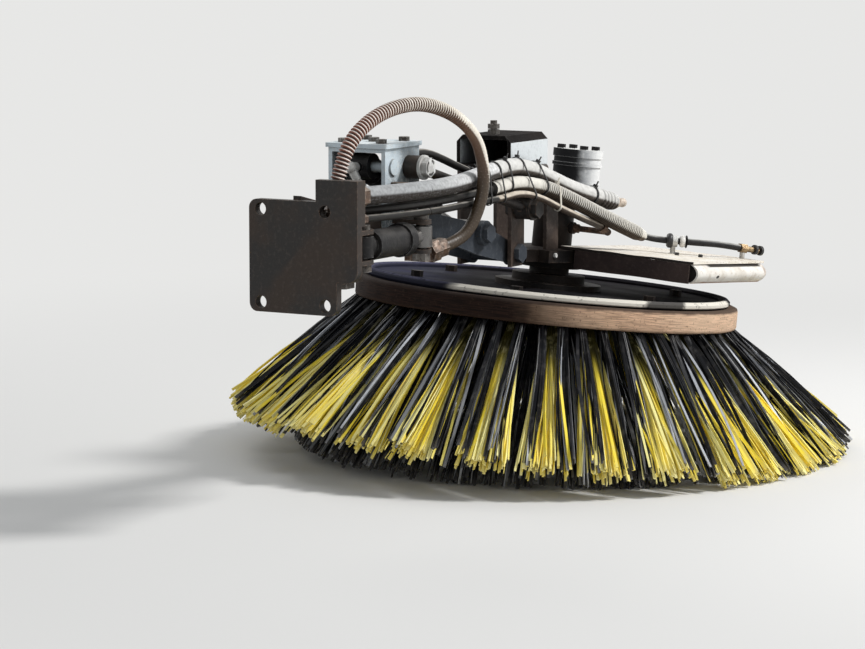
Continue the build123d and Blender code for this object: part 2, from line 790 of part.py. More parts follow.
def elbow(end, face, direction, reach, radius):
    """Nut, bent pipe and straight pipe from a hose's end to a port face."""
    corner = face + direction * reach
    aim = (corner - end).normalized()
    body = hexagon_bar(end, end + aim * 10, radius * 3)
    body += rod(end, corner, radius)
    body += Pos(*corner) * Sphere(radius + 1)
    body += rod(corner, face, radius)
    body += hexagon_bar(face, face + direction * 8, radius * 2.6)
    return body


def port_face(centre, heading, reach, level):
    """Middle of a port's face and the direction out of it."""
    out = Vector(1, 0, 0).rotate(Axis.Z, heading)
    face = tilted_point(centre.X + out.X * reach, centre.Y + out.Y * reach, level)
    return face, out.rotate(tilt_hinge, brush_tilt)


def head_fittings():
    """Elbows of the motor and the drain line, and the thin line's port on the cheek."""
    face, out = port_face(motor_centre, motor_port_heading, motor_radius + port_boss_height,
                          motor_port_level)
    motor_elbow = elbow(Vector(pressure_route[-1]), face, out, 30, 6)
    face, out = port_face(Vector(0, 0, 0), -90, bearing_radius + port_boss_height,
                          drain_port_height)
    drain_elbow = elbow(Vector(drain_route[-1]), face, out, 56, 4.5)
    x, y, z = thin_route[-1]
    thin_port = block(x, x + 18, -knuckle_half_width, y - thin_radius - 1,
                      z - thin_radius - 2, z + thin_radius + 2)
    return Compound(children=[motor_elbow, drain_elbow, thin_port])


def above_tray(point):
    """Foot of a point on the guard tray's top."""
    point = Vector(point)
    height = (point - disc_top_centre).dot(brush_up) - tray_top
    return point - brush_up * height


def spray_brackets():
    """Clip round the spray hose and stand under the nozzle, both on the guard tray."""
    before = Vector(spray_route[2])
    after = Vector(spray_route[3])
    middle = (before + after) / 2
    aim = (after - before).normalized()
    clip = rod(middle - aim * 6, middle + aim * 6, spray_radius + 4)
    clip += rod(above_tray(middle), middle, 4)
    clip -= rod(middle - aim * 7, middle + aim * 7, spray_radius + 0.1)
    start = Vector(spray_route[-1])
    aim = (Vector(nozzle_tip) - start).normalized()
    middle = start + aim * 6
    stand = rod(above_tray(middle), middle, 4) - hexagon_bar(start - aim, start + aim * 13, 13)
    return Compound(children=[clip, stand])


def spray_nozzle():
    """Brass nozzle: hexagon, stem, collar and tapered tip."""
    start = Vector(spray_route[-1])
    tip = Vector(nozzle_tip)
    aim = (tip - start).normalized()
    body = hexagon_bar(start, start + aim * 12, 13)
    body += rod(start, tip - aim * 9, 4.5)
    body += hexagon_bar(tip - aim * 15, tip - aim * 9, 11)
    frame = Plane(origin=tip - aim * 9, z_dir=aim)
    body += loft([frame * Circle(5), frame.offset(9) * Circle(3)])
    return body


motor_port_level = bearing_top + case_thickness / 2
save("head_box", head_box())
save("head_cheeks", head_cheeks())
save("base_plate", base_plate())
save("bearing_housing", bearing_housing())
save("brush_motor", motor())
save("guard_tray", guard_tray())
head_ports = head_fittings()
save("head_fittings", head_ports)
save("spray_brackets", spray_brackets())
nozzle = spray_nozzle()
save("spray_nozzle", nozzle)
save("upper_front_pivot", pivot_bolt(upper_front, -cheek_inner, washer_face))
save("lower_front_pivot", cross_pin(lower_front, knuckle_half_width, pivot_radius))
tilt_bolt_x = box_rear + 30
tilt_bolt = upright(tilt_bolt_x, 0, box_top, box_top + tilt_bolt_height, 5)
tilt_bolt += hex_head((tilt_bolt_x, 0, box_top), (0, 0, 1), tilt_nut_flats, tilt_nut_height)
tilt_bolt += hex_head((tilt_bolt_x, 0, box_top + tilt_nut_height + 1), (0, 0, 1),
                      tilt_nut_flats, tilt_nut_height)
save("tilt_bolt", tilt_bolt)


# Hoses
def corner_radii(route):
    """Radius of each bend, as large as its two runs allow."""
    points = [Vector(p) for p in route]
    radii = []
    for before, corner, after in zip(points, points[1:], points[2:]):
        shorter = min((corner - before).length, (after - corner).length)
        turn = radians((corner - before).get_angle(after - corner))
        radii.append(0.45 * shorter / tan(turn / 2))
    return radii


def hose(name, route, radius, cuts=()):
    """Spans of one hose, cut square at the middle of the runs listed in cuts."""
    points = [Vector(p) for p in route]
    radii = corner_radii(route)
    print(name, "bend radii", [round(r) for r in radii])
    spans = []
    start = points[0]
    first = 1
    for cut in (*cuts, len(points) - 1):
        last = cut == len(points) - 1
        corners = points[first:cut if last else cut + 1]
        end = points[-1] if last else (points[cut] + points[cut + 1]) / 2
        bends = radii[first - 1:first - 1 + len(corners)]
        path = FilletPolyline(start, *corners, end, radius=bends)
        section = Plane(origin=path @ 0, z_dir=path % 0) * Circle(radius)
        span = sweep(section, path=path)
        share = span.volume / (pi * radius ** 2 * path.length)
        print(name, "span length", round(path.length), "volume share", round(share, 4))
        spans.append(span)
        start = end
        first = cut + 1
    return spans


def tie_band():
    """Band round the upper link's rod and the hoses that it carries."""
    level = Plane(origin=(tie_x, 0, 0), x_dir=(0, 1, 0), z_dir=(1, 0, 0))
    rod_centre = upper_rear + link_run * ((tie_x - upper_rear.X) / link_run.X)
    middle = (upper_link_inner + upper_link_outer) / 2
    held = [(middle, rod_centre.Z, upper_rod_radius)]
    for route, radius, index in ((pressure_route, pressure_radius, 5),
                                 (water_route, water_sleeve_radius, 5),
                                 (drain_route, drain_radius, 5), (thin_route, thin_radius, 5)):
        before = Vector(route[index])
        after = Vector(route[index + 1])
        point = before + (after - before) * ((tie_x - before.X) / (after.X - before.X))
        held.append((point.Y, point.Z, radius))
    hull = make_hull([e for y, z, r in held for e in (Pos(y, z) * Circle(r + tie_gap)).edges()])
    band = offset(hull, tie_thickness) - hull
    return extrude(level * band, tie_width / 2, both=True)


def trimmed(spans, *fittings):
    """Spans cut back to the faces of their fittings."""
    for fitting in fittings:
        spans = [span - fitting for span in spans]
    return Compound(children=spans)


tie_x = 414.0
hose_cuts = (2, 5)
pressure = hose("pressure", pressure_route, pressure_radius, hose_cuts)
water = hose("water", water_route, water_radius, hose_cuts)
water_sleeve = hose("water sleeve", water_route, water_sleeve_radius, hose_cuts)[2]
drain = hose("drain", drain_route, drain_radius, hose_cuts)
thin = hose("thin line", thin_route, thin_radius, (5,))
conduit = hose("conduit", conduit_route, conduit_radius, (4, 9))
lift_line = hose("lift hose", lift_hose_route, lift_hose_radius)
spray_line = hose("spray", spray_route, spray_radius)
save("hoses_root", trimmed([pressure[0], water[0], drain[0]], root_nuts))
save("hoses_arm", trimmed([pressure[1], water[1], drain[1], thin[0]], arm_ports))
save("hoses_head", trimmed([pressure[2], water_sleeve, drain[2], thin[1]], head_ports))
save("conduit_root", trimmed(conduit[:1], root_nuts))
save("conduit_loop", conduit[1])
save("conduit_tail", trimmed(conduit[2:], arm_ports))
save("lift_hose", trimmed(lift_line, arm_ports, rear_elbow))
save("spray_hose", trimmed(spray_line, nozzle, water_sleeve))
save("hose_tie_band", tie_band())


# Brush, in its own frame at the disc's top centre
def disc():
    """Steel disc with a raised rim."""
    edge = disc_radius
    inner = edge - rim_width
    bevel = rim_chamfer
    outline = [(0, -disc_thickness), (edge - bevel, -disc_thickness),
               (edge, bevel - disc_thickness), (edge, rim_height - bevel),
               (edge - bevel, rim_height), (inner + bevel, rim_height),
               (inner, rim_height - bevel), (inner, 0), (0, 0)]
    return revolve(Plane.XZ * Polygon(*outline, align=None), Axis.Z)


def board():
    """Wood board that holds the bristles."""
    return upright(0, 0, -disc_thickness - board_thickness, -disc_thickness, board_radius)


def hub():
    """Flanged hub with the shaft that runs in the bearing housing."""
    flange = hub_height * 0.4
    body = upright(0, 0, 0, flange, hub_radius + 25)
    body += upright(0, 0, flange, hub_height, hub_radius)
    body += upright(0, 0, hub_height, drain_port_height - port_boss_radius - 5, shaft_radius)
    return body


def splay_to_ground(angle, root_radius, splay):
    """Splay of a bristle whose tip would otherwise reach below the ground."""
    lean = radians(brush_tilt)
    downhill = cos(angle - radians(tilt_heading)) * sin(lean)
    root_height = disc_top_centre.Z - ground_z
    root_height -= (disc_thickness + board_thickness) * cos(lean)
    root_height -= root_radius * downhill
    reach = hypot(cos(lean), downhill)
    share = root_height / (bristle_length * reach)
    if share >= 1:
        return splay
    least = degrees(acos(share) + atan2(downhill, cos(lean)))
    return max(splay, least)


def tuft(angle, root_radius, splay):
    """One tapered bundle of bristles with flat sides, from the board to its tips."""
    lean = radians(splay_to_ground(angle, root_radius, splay))
    root_z = -disc_thickness - board_thickness
    rings = []
    for along, size in ((0, tuft_root_size), (bristle_length, tuft_tip_size)):
        reach = root_radius + along * sin(lean)
        level = root_z - along * cos(lean)
        middle = Vector(reach * cos(angle), reach * sin(angle), level)
        turns = [degrees(angle) + 60 * k for k in range(6)]
        rings.append([middle + Vector(size, 0, 0).rotate(Axis.Z, turn) for turn in turns])
    root, tip = rings
    outlines = [root, tip]
    for k in range(6):
        outlines.append([root[k], root[(k + 1) % 6], tip[(k + 1) % 6], tip[k]])
    return Solid(Shell([make_face(Polyline(*o, close=True)) for o in outlines]))


def tufts(colour):
    """All bundles of one colour."""
    solids = []
    for root_radius, splay, phase, shade in tuft_rows:
        if shade != colour:
            continue
        for index in range(tufts_in_row):
            angle = 2 * pi * (index + phase) / tufts_in_row
            solids.append(tuft(angle, root_radius, splay))
    return Compound(children=[tilted(s) for s in solids])


def disc_bolts():
    """Bolts round the disc."""
    solids = []
    for index in range(disc_bolt_count):
        place = Vector(disc_bolt_circle, 0, 0).rotate(Axis.Z, 15 + 360 / disc_bolt_count * index)
        solids.append(tilted(hex_head(place, (0, 0, 1), 16, 9)))
    return Compound(children=solids)


save("brush_disc", tilted(disc()))
save("brush_board", tilted(board()))
save("brush_hub", tilted(hub()))
save("tufts_black", tufts("black"))
save("tufts_yellow", tufts("yellow"))
save("disc_bolts", disc_bolts())
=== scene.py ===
"""Looks of a street sweeper's side brush unit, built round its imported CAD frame. All lengths are in metres."""

import math

import bpy
import numpy as np
from bpy.props import FloatProperty, FloatVectorProperty, IntProperty, PointerProperty
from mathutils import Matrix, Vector


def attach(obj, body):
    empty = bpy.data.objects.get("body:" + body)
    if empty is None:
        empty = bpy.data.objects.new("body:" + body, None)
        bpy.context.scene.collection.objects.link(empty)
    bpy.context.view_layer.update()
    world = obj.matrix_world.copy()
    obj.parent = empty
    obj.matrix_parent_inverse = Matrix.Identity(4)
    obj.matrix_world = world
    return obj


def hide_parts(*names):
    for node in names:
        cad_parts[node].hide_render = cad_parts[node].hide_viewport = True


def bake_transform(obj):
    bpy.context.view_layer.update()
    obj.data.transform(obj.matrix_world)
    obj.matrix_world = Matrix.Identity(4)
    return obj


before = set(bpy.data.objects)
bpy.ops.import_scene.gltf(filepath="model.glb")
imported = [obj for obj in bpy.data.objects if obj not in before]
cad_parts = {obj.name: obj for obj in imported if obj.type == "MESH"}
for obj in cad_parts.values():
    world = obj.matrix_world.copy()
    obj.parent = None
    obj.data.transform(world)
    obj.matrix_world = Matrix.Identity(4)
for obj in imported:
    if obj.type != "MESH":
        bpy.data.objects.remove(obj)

bl_info = {
    "name": "Street Sweeper Side Brush",
    "version": (1, 0, 0),
    "blender": (4, 5, 0),
    "location": "3D View > Sidebar > Side Brush",
    "description": "Builds the bristles, hoses, guard and finishes of a street sweeper's side brush",
    "category": "Object",
}

# Places that the frame's source sets
GROUND = -0.356
DISC_TOP = np.array([0.71605, 0.0, -0.10997])
TILT = math.radians(6.0)
TILT_HEADING = math.radians(-34.0)
TILT_HINGE = np.array([-math.sin(TILT_HEADING), math.cos(TILT_HEADING), 0.0])
BOARD_TOP = -0.005
BOARD_UNDER = -0.037
BOARD_RADIUS = 0.289
DISC_RADIUS = 0.276

# Tuft rows: root circle, splay from the axis, share of a pitch turned, length, spread of the tips, bundles, colour
TUFT_ROWS = (
    (0.276, 43.0, 0.0, 0.256, 0.0026, 2, "black"),
    (0.246, 47.5, 0.5, 0.281, 0.0165, 1, "yellow"),
    (0.214, 30.0, 0.0, 0.272, 0.0200, 1, "black"),
)
TUFTS_IN_ROW = 30

# Hose routes, from the chassis or the arm towards the head
PRESSURE_ROUTE = (
    (0.034, -0.086, 0.082), (0.084, -0.091, 0.081), (0.145, -0.095, 0.080), (0.223, -0.093, 0.079),
    (0.304, -0.083, 0.080), (0.381, -0.076, 0.086), (0.442, -0.068, 0.090), (0.500, -0.062, 0.089),
    (0.559, -0.060, 0.079), (0.608, -0.062, 0.063), (0.652, -0.074, 0.045), (0.700, -0.084, 0.032),
    (0.756, -0.089, 0.019),
)
WATER_ROUTE = (
    (0.034, -0.073, 0.061), (0.084, -0.083, 0.061), (0.148, -0.090, 0.061), (0.227, -0.086, 0.060),
    (0.307, -0.080, 0.060), (0.381, -0.076, 0.062), (0.429, -0.075, 0.065), (0.484, -0.074, 0.067),
    (0.535, -0.076, 0.060), (0.580, -0.082, 0.048), (0.633, -0.094, 0.027), (0.691, -0.104, 0.004),
    (0.751, -0.112, -0.018), (0.800, -0.118, -0.035),
)
DRAIN_ROUTE = (
    (0.034, -0.090, 0.052), (0.084, -0.094, 0.051), (0.150, -0.098, 0.050), (0.230, -0.095, 0.049),
    (0.311, -0.086, 0.049), (0.380, -0.086, 0.049), (0.424, -0.085, 0.050), (0.465, -0.090, 0.054),
    (0.518, -0.092, 0.044), (0.576, -0.094, 0.024), (0.647, -0.094, 0.003), (0.705, -0.096, -0.014),
)
THIN_ROUTE = (
    (0.251, -0.031, 0.121), (0.280, -0.030, 0.122), (0.309, -0.031, 0.118), (0.337, -0.034, 0.109),
    (0.362, -0.042, 0.098), (0.388, -0.051, 0.087), (0.425, -0.056, 0.081), (0.465, -0.056, 0.077),
    (0.507, -0.054, 0.070), (0.548, -0.053, 0.064),
)
LIFT_ROUTE = (
    (0.154, -0.006, 0.092), (0.159, -0.012, 0.080), (0.168, -0.020, 0.070), (0.176, -0.025, 0.062),
    (0.180, -0.026, 0.052),
)
CONDUIT_ROUTE = (
    (0.029, -0.050, 0.094), (0.036, -0.054, 0.124), (0.053, -0.060, 0.156), (0.090, -0.068, 0.180),
    (0.136, -0.076, 0.193), (0.189, -0.084, 0.196), (0.243, -0.091, 0.185), (0.287, -0.097, 0.165),
    (0.316, -0.102, 0.139), (0.328, -0.104, 0.108), (0.331, -0.104, 0.075), (0.323, -0.101, 0.044),
    (0.307, -0.094, 0.014), (0.287, -0.085, 0.000), (0.264, -0.078, -0.005),
)
SPRAY_ROUTE = (
    (0.800, -0.118, -0.035), (0.817, -0.125, -0.040), (0.830, -0.141, -0.043), (0.843, -0.163, -0.045),
    (0.862, -0.186, -0.048), (0.886, -0.207, -0.051), (0.916, -0.226, -0.058),
)


# Meshes

def unit(vectors):
    """Each vector divided by its own length."""
    return vectors / np.linalg.norm(vectors, axis=-1, keepdims=True)


def summed(steps):
    """Running sum of the steps, from 0."""
    return np.concatenate([[0], np.cumsum(steps)])


def distance_along(points):
    """Distance along a path to each of its points."""
    return summed(np.linalg.norm(np.diff(points, axis=0), axis=1))


def full_turn(count):
    """Evenly spaced angles round a circle."""
    return np.arange(count) * 2 * math.pi / count


def tilt(points):
    """Carries points from the brush's own frame to its place: turned by TILT about TILT_HINGE, then moved to the
    disc."""
    points = np.asarray(points, float)
    along = (points @ TILT_HINGE)[..., None] * TILT_HINGE
    turned = points * math.cos(TILT) + np.cross(TILT_HINGE, points) * math.sin(TILT)
    return turned + along * (1 - math.cos(TILT)) + DISC_TOP


def tilt_turn(vectors):
    """Turns directions as tilt() turns points, without the move."""
    return tilt(vectors) - DISC_TOP


def wobble(points, scale, seed):
    """Smooth value between -1 and 1 at each point: the mean of five sines with directions and phases from the seed."""
    rng = np.random.default_rng(seed)
    waves = rng.normal(size=(5, points.shape[-1])) * scale
    return np.sin(points @ waves.T + rng.uniform(0, 2 * math.pi, 5)).mean(-1)


def mesh_object(name, vertices, faces, uv=None, smooth=True):
    """Object from an array of vertices and a list of face arrays, each (faces, corners). uv has one pair per corner."""
    corners = np.concatenate([f.ravel() for f in faces]).astype(np.int32)
    sides = np.concatenate([np.full(len(f), f.shape[1]) for f in faces])
    mesh = bpy.data.meshes.new(name)
    mesh.vertices.add(len(vertices))
    mesh.vertices.foreach_set("co", np.asarray(vertices, np.float32).ravel())
    mesh.loops.add(len(corners))
    mesh.loops.foreach_set("vertex_index", corners)
    mesh.polygons.add(len(sides))
    mesh.polygons.foreach_set("loop_start", summed(sides)[:-1].astype(np.int32))
    if uv is not None:
        mesh.uv_layers.new(name="UVMap").uv.foreach_set("vector", np.asarray(uv, np.float32).ravel())
    mesh.polygons.foreach_set("use_smooth", np.full(len(sides), smooth))
    mesh.update(calc_edges=True)
    if mesh.validate():
        raise ValueError(name + " has faces that Blender had to mend")
    made = bpy.data.objects.new(name, mesh)
    bpy.context.scene.collection.objects.link(made)
    return made


def inside_out(vertices, faces):
    """Whether the faces, cut into fans, enclose a negative volume: the sum of the wedges from the origin."""
    total = 0.0
    for group in faces:
        first = vertices[group[:, 0]]
        for k in range(1, group.shape[1] - 1):
            wedge = np.cross(vertices[group[:, k]], vertices[group[:, k + 1]])
            total += np.einsum("ij,ij->", first, wedge)
    return total < 0


def flat_piece(name, vertices, faces):
    """Flat-shaded object from one array of faces, turned to point outwards."""
    return mesh_object(name, vertices, [faces[:, ::-1] if inside_out(vertices, [faces]) else faces], smooth=False)


def surface(name, grid, loop=False, smooth=True):
    """Closed skin over a grid of points (rows, columns, 3) whose columns go once round. Quads join neighbours. With
    loop the last row joins the first, else the end rows get a cap. UV is the distance round and along."""
    rows, columns = grid.shape[:2]
    index = np.arange(rows * columns).reshape(rows, columns)
    lower = index if loop else index[:-1]
    upper = np.roll(index, -1, 0) if loop else index[1:]
    quads = np.stack([lower, np.roll(lower, -1, 1), np.roll(upper, -1, 1), upper], -1)
    u = summed(np.linalg.norm(np.roll(grid, -1, 1) - grid, axis=-1).max(0))
    v = summed(np.linalg.norm(np.roll(grid, -1, 0) - grid, axis=-1).mean(1))
    count = len(lower)
    near, far = v[:count], v[1:count + 1]
    round_ = np.broadcast_to(np.stack([u[:-1], u[1:], u[1:], u[:-1]], -1), quads.shape)
    along = np.broadcast_to(np.stack([near, near, far, far], -1)[:, None], quads.shape)
    uv = np.stack([round_, along], -1).reshape(-1, 4, 2)
    ends = np.zeros((0, 2))
    faces = [quads.reshape(-1, 4)]
    if not loop:
        faces.append(np.stack([index[0, ::-1], index[-1]]))
        ends = np.repeat([[0.0, 0.0], [0.0, v[count]]], columns, axis=0)
    vertices = grid.reshape(-1, 3)
    if inside_out(vertices, faces):
        faces = [f[:, ::-1] for f in faces]
        uv = uv[:, ::-1]
    return mesh_object(name, vertices, faces, np.concatenate([uv.reshape(-1, 2), ends]), smooth)


def spline_points(name, route, spacing):
    """Points at an even spacing along the NURBS curve that has the route as its control points."""
    curve = bpy.data.curves.new(name, "CURVE")
    curve.dimensions = "3D"
    curve.resolution_u = 32
    spline = curve.splines.new("NURBS")
    spline.points.add(len(route) - 1)
    spline.points.foreach_set("co", np.hstack([route, np.ones((len(route), 1))]).ravel())
    spline.order_u = 3
    spline.use_endpoint_u = True
    holder = bpy.data.objects.new(name, curve)
    bpy.context.scene.collection.objects.link(holder)
    bpy.context.view_layer.update()
    read = bpy.data.meshes.new_from_object(holder)
    points = np.zeros(len(read.vertices) * 3)
    read.vertices.foreach_get("co", points)
    points = points.reshape(-1, 3)
    bpy.data.objects.remove(holder)
    bpy.data.curves.remove(curve)
    bpy.data.meshes.remove(read)
    length = distance_along(points)
    even = np.linspace(0, length[-1], int(length[-1] / spacing) + 2)
    return np.stack([np.interp(even, length, points[:, k]) for k in range(3)], -1)


def tube_grid(points, radius, sides, across=(0, 0, 1)):
    """Rings about each point of a path: point + radius * (cos a * side + sin a * rise), where side is at right angles
    to the path and to the direction across."""
    ahead = unit(np.gradient(points, axis=0))
    side = unit(np.cross(ahead, np.asarray(across, float)))
    rise = np.cross(side, ahead)
    angle = full_turn(sides)[None, :, None]
    reach = np.broadcast_to(radius, len(points))[:, None, None]
    return points[:, None] + reach * (np.cos(angle) * side[:, None] + np.sin(angle) * rise[:, None])


def parting_rows(points, route, cuts):
    """Rows of a path where it is parted: its ends, and the row nearest to the middle of each of the runs in cuts."""
    middles = ((np.array(route[c]) + np.array(route[c + 1])) / 2 for c in cuts)
    return [0, *(int(np.argmin(np.linalg.norm(points - m, axis=1))) for m in middles), len(points) - 1]


def mark(piece, key, values):
    """Stores one value per vertex for the material to read."""
    values = np.ascontiguousarray(values, np.float32).ravel()
    piece.data.attributes.new(key, "FLOAT", "POINT").data.foreach_set("value", values)


# Materials

# Dark tone laid in corners and under edges: grease there, and painted shade
GREASE_AND_SHADE = (0.018, 0.014, 0.011)


def darker(tone, share):
    """A share of a colour."""
    return tuple(x * share for x in tone)


class Skin:
    """A material being built."""

    def __init__(self, name, **sockets):
        self.material = bpy.data.materials.new(name)
        self.material.use_nodes = True
        self.tree = self.material.node_tree
        self.shader = self.tree.nodes["Principled BSDF"]
        self.colour = None
        for socket, value in sockets.items():
            self.feed(self.shader.inputs[socket.replace("_", " ")], value)

    def feed(self, socket, value):
        """Links a socket to another, or sets its own value."""
        if isinstance(value, bpy.types.NodeSocket):
            self.tree.links.new(value, socket)
        elif hasattr(value, "__len__") and len(value) == 3 and socket.type == "RGBA":
            socket.default_value = (*value, 1.0)
        else:
            socket.default_value = value

    def add(self, kind, settings=None, **inputs):
        """Adds one node with its settings and inputs."""
        node = self.tree.nodes.new("ShaderNode" + kind)
        for key, value in (settings or {}).items():
            setattr(node, key, value)
        for key, value in inputs.items():
            self.feed(node.inputs[key.replace("_", " ")], value)
        return node

    def place(self, source="Object", stretch=None):
        """Texture coordinates, stretched where asked."""
        socket = self.add("TexCoord").outputs[source]
        if stretch is not None:
            socket = self.add("Mapping", Vector=socket, Scale=stretch).outputs[0]
        return socket

    def attribute(self, key):
        """One of the values that mark() stores."""
        return self.add("Attribute", {"attribute_name": key}).outputs["Fac"]

    def noise(self, scale, detail=3.0, source="Object", stretch=None):
        """Cloudy value, about 0.3 to 0.7."""
        where = self.place(source, stretch)
        return self.add("TexNoise", Vector=where, Scale=scale, Detail=detail, Roughness=0.6).outputs[0]

    def ramp(self, value, low, high, start=0.0, end=1.0):
        """start below low, end above high, smooth between."""
        node = self.add("MapRange", {"interpolation_type": "SMOOTHSTEP"}, Value=value)
        for key, number in zip(("From Min", "From Max", "To Min", "To Max"), (low, high, start, end)):
            node.inputs[key].default_value = number
        return node.outputs[0]

    def patches(self, scale, detail, low, high, end=1.0):
        """Patches of a noise, from 0 to end."""
        return self.ramp(self.noise(scale, detail), low, high, 0.0, end)

    def math(self, operation, first, second=0.0):
        """One sum on two values."""
        node = self.add("Math", {"operation": operation})
        self.feed(node.inputs[0], first)
        self.feed(node.inputs[1], second)
        return node.outputs[0]

    def times(self, first, *others):
        """Product of values, from the left."""
        for other in others:
            first = self.math("MULTIPLY", first, other)
        return first

    def plus(self, first, second):
        """Sum of two values."""
        return self.math("ADD", first, second)

    def vector(self, operation, *vectors):
        """One sum on vectors: a number for a dot product, a distance or a length, else a vector."""
        node = self.add("VectorMath", {"operation": operation})
        for socket, value in zip(node.inputs, vectors):
            self.feed(socket, value)
        return node.outputs["Value" if operation in ("DOT_PRODUCT", "DISTANCE", "LENGTH") else "Vector"]

    def mix(self, share, first, second):
        """Colour between two colours."""
        node = self.add("Mix", {"data_type": "RGBA"})
        for number, value in ((0, share), (6, first), (7, second)):
            self.feed(node.inputs[number], value)
        return node.outputs[2]

    def cover(self, share, tone, strength=None):
        """Lays a tone over the colour so far."""
        if strength is not None:
            share = self.times(share, strength)
        self.colour = self.mix(share, self.colour, tone)

    def parts(self, vector):
        """The three numbers of a vector."""
        return self.add("SeparateXYZ", Vector=vector).outputs

    def axis(self, source, index):
        """One number of a texture coordinate."""
        return self.parts(self.place(source))[index]

    def facing(self, way, vector=None):
        """Share of a vector, or else of the normal, that points along a direction."""
        vector = self.place("Normal") if vector is None else vector
        return self.vector("DOT_PRODUCT", vector, np.array(way) / np.linalg.norm(way))

    def own_frame(self):
        """Object coordinates carried into the brush's own frame, with the disc's top at 0: each is the offset from the
        disc along one of the tilted axes."""
        offset = self.vector("SUBTRACT", self.place(), DISC_TOP)
        joined = self.add("CombineXYZ")
        for k, axis in enumerate(tilt_turn(np.eye(3))):
            self.feed(joined.inputs[k], self.vector("DOT_PRODUCT", offset, axis))
        return joined.outputs[0]

    def corners(self, reach):
        """Near 1 in corners and under edges, 0 in the open."""
        node = self.add("AmbientOcclusion", {"samples": 6}, Distance=reach)
        return self.math("SUBTRACT", 1.0, node.outputs["AO"])

    def edges(self, reach):
        """Near 1 along sharp edges, 0 on flat faces."""
        soft = self.add("Bevel", {"samples": 4}, Radius=reach).outputs[0]
        same = self.vector("DOT_PRODUCT", soft, self.add("NewGeometry").outputs["Normal"])
        return self.ramp(self.math("SUBTRACT", 1.0, same), 0.01, 0.12)

    def bump(self, height, depth):
        """Gives the shader a relief of the height, that many metres deep."""
        node = self.add("Bump", {}, Height=height, Distance=depth, Strength=1.0)
        self.feed(self.shader.inputs["Normal"], node.outputs[0])

    def finish(self, roughness=None):
        """Sets the colour, and a roughness that varies."""
        self.feed(self.shader.inputs["Base Color"], self.colour)
        if roughness is not None:
            self.feed(self.shader.inputs["Roughness"], roughness)
        return self.material


def worn(name, paint, patch, dust, bare, roughness=0.6, metallic=0.0, settled=0.6, grime_and_shade=0.75, wear=0.5,
         broad=13.0, speckle=0.35, recess_shade=0.0, shine=0.5, lit_face=None):
    """Painted or bare metal with patches, specks, dust on top, worn edges, and a dark tone in corners for dirt and
    painted shade, laid with the share grime. hollow is the share of painted shade in deep recesses; lit_face is the
    paint of faces that look to the kerb, painted light on the side that the light falls on."""
    skin = Skin(name, Metallic=metallic, Specular_IOR_Level=shine)
    cloud = skin.noise(broad, 6.0)
    grain = skin.noise(170.0, 4.0)
    skin.colour = skin.mix(skin.ramp(cloud, 0.42, 0.6), paint, patch)
    # Painted light: faces that look to the kerb take the paint of a lit face
    if lit_face is not None:
        skin.cover(skin.ramp(skin.axis("Normal", 1), -0.80, -0.95), lit_face)
    # Painted shade in deep recesses
    if recess_shade:
        skin.cover(skin.ramp(skin.corners(0.10), 0.50, 0.80), (0.010, 0.008, 0.007), recess_shade)
    skin.cover(skin.ramp(grain, 0.5, 0.68), dust, speckle)
    top = skin.ramp(skin.axis("Normal", 2), 0.35, 0.9)
    skin.cover(skin.times(top, skin.patches(28.0, 5.0, 0.32, 0.62)), dust, settled)
    # Dark tone in corners: dirt there, and painted shade
    skin.cover(skin.ramp(skin.corners(0.022), 0.3, 0.85), GREASE_AND_SHADE, grime_and_shade)
    skin.cover(skin.times(skin.edges(0.0014), skin.ramp(grain, 0.4, 0.6)), bare, wear)
    skin.bump(skin.plus(skin.times(grain, 0.7), skin.noise(520.0, 2.0)), 0.0004)
    return skin.finish(skin.ramp(cloud, 0.3, 0.7, roughness - 0.1, min(roughness + 0.15, 1.0)))


def hose_dust_and_painted_light(name, base, dust, roughness, mottle, grain, low, high, patchy=0.5, blotches=60.0, onward=None):
    """Rubber hose: weave and blotches that follow it, painted shade in its grooves and corners, and a pale tone, dust,
    on the side that faces the light between two slopes, low and high: dust there, and painted light. onward is that
    pale tone nearer the head."""
    skin = Skin(name, Specular_IOR_Level=0.15)
    if onward is not None:
        dust = skin.mix(skin.ramp(skin.axis("Object", 0), 0.12, 0.40), dust, onward)
    blotch = skin.noise(blotches, 6.0, "UV")
    weave = skin.noise(420.0, 2.0, "UV", (1.0, 0.45, 1.0))
    # Side that faces the light, where the pale tone goes: dust there, and painted light
    settled = skin.ramp(skin.facing((0.30, -0.45, 0.84)), low, high, 0.03, 1.0)
    skin.colour = base
    skin.cover(skin.times(skin.ramp(blotch, 0.34, 0.62, 1 - patchy, 1.0), settled), dust, mottle)
    skin.cover(skin.ramp(weave, 0.45, 0.7), dust, 0.16 * grain)
    # Painted shade in the grooves
    skin.cover(skin.ramp(skin.attribute("crest"), 0.25, 0.95, 0.95, 0.0), darker(base, 0.3))
    # Painted shade in corners
    skin.cover(skin.ramp(skin.corners(0.016), 0.35, 0.9), (0.012, 0.010, 0.009), 0.7)
    skin.bump(weave, 0.0004 * grain)
    return skin.finish(skin.ramp(blotch, 0.3, 0.7, roughness - 0.1, roughness + 0.2))


def plain(name, base, roughness):
    """Small part in one colour, with light wear."""
    skin = Skin(name, Metallic=0.0, Roughness=roughness)
    skin.colour = skin.mix(skin.patches(150.0, 4.0, 0.45, 0.7), base, darker(base, 0.55))
    return skin.finish()


# Sizes and colours that a user may change

def metres(title, text, value):
    """A length in metres."""
    return FloatProperty(name=title, description=text, default=value, min=0.0, unit="LENGTH", precision=4)


def swatch(title, text, value):
    """A colour in linear red, green and blue."""
    return FloatVectorProperty(name=title, description=text, default=value, size=3, min=0.0, max=1.0, subtype="COLOR")


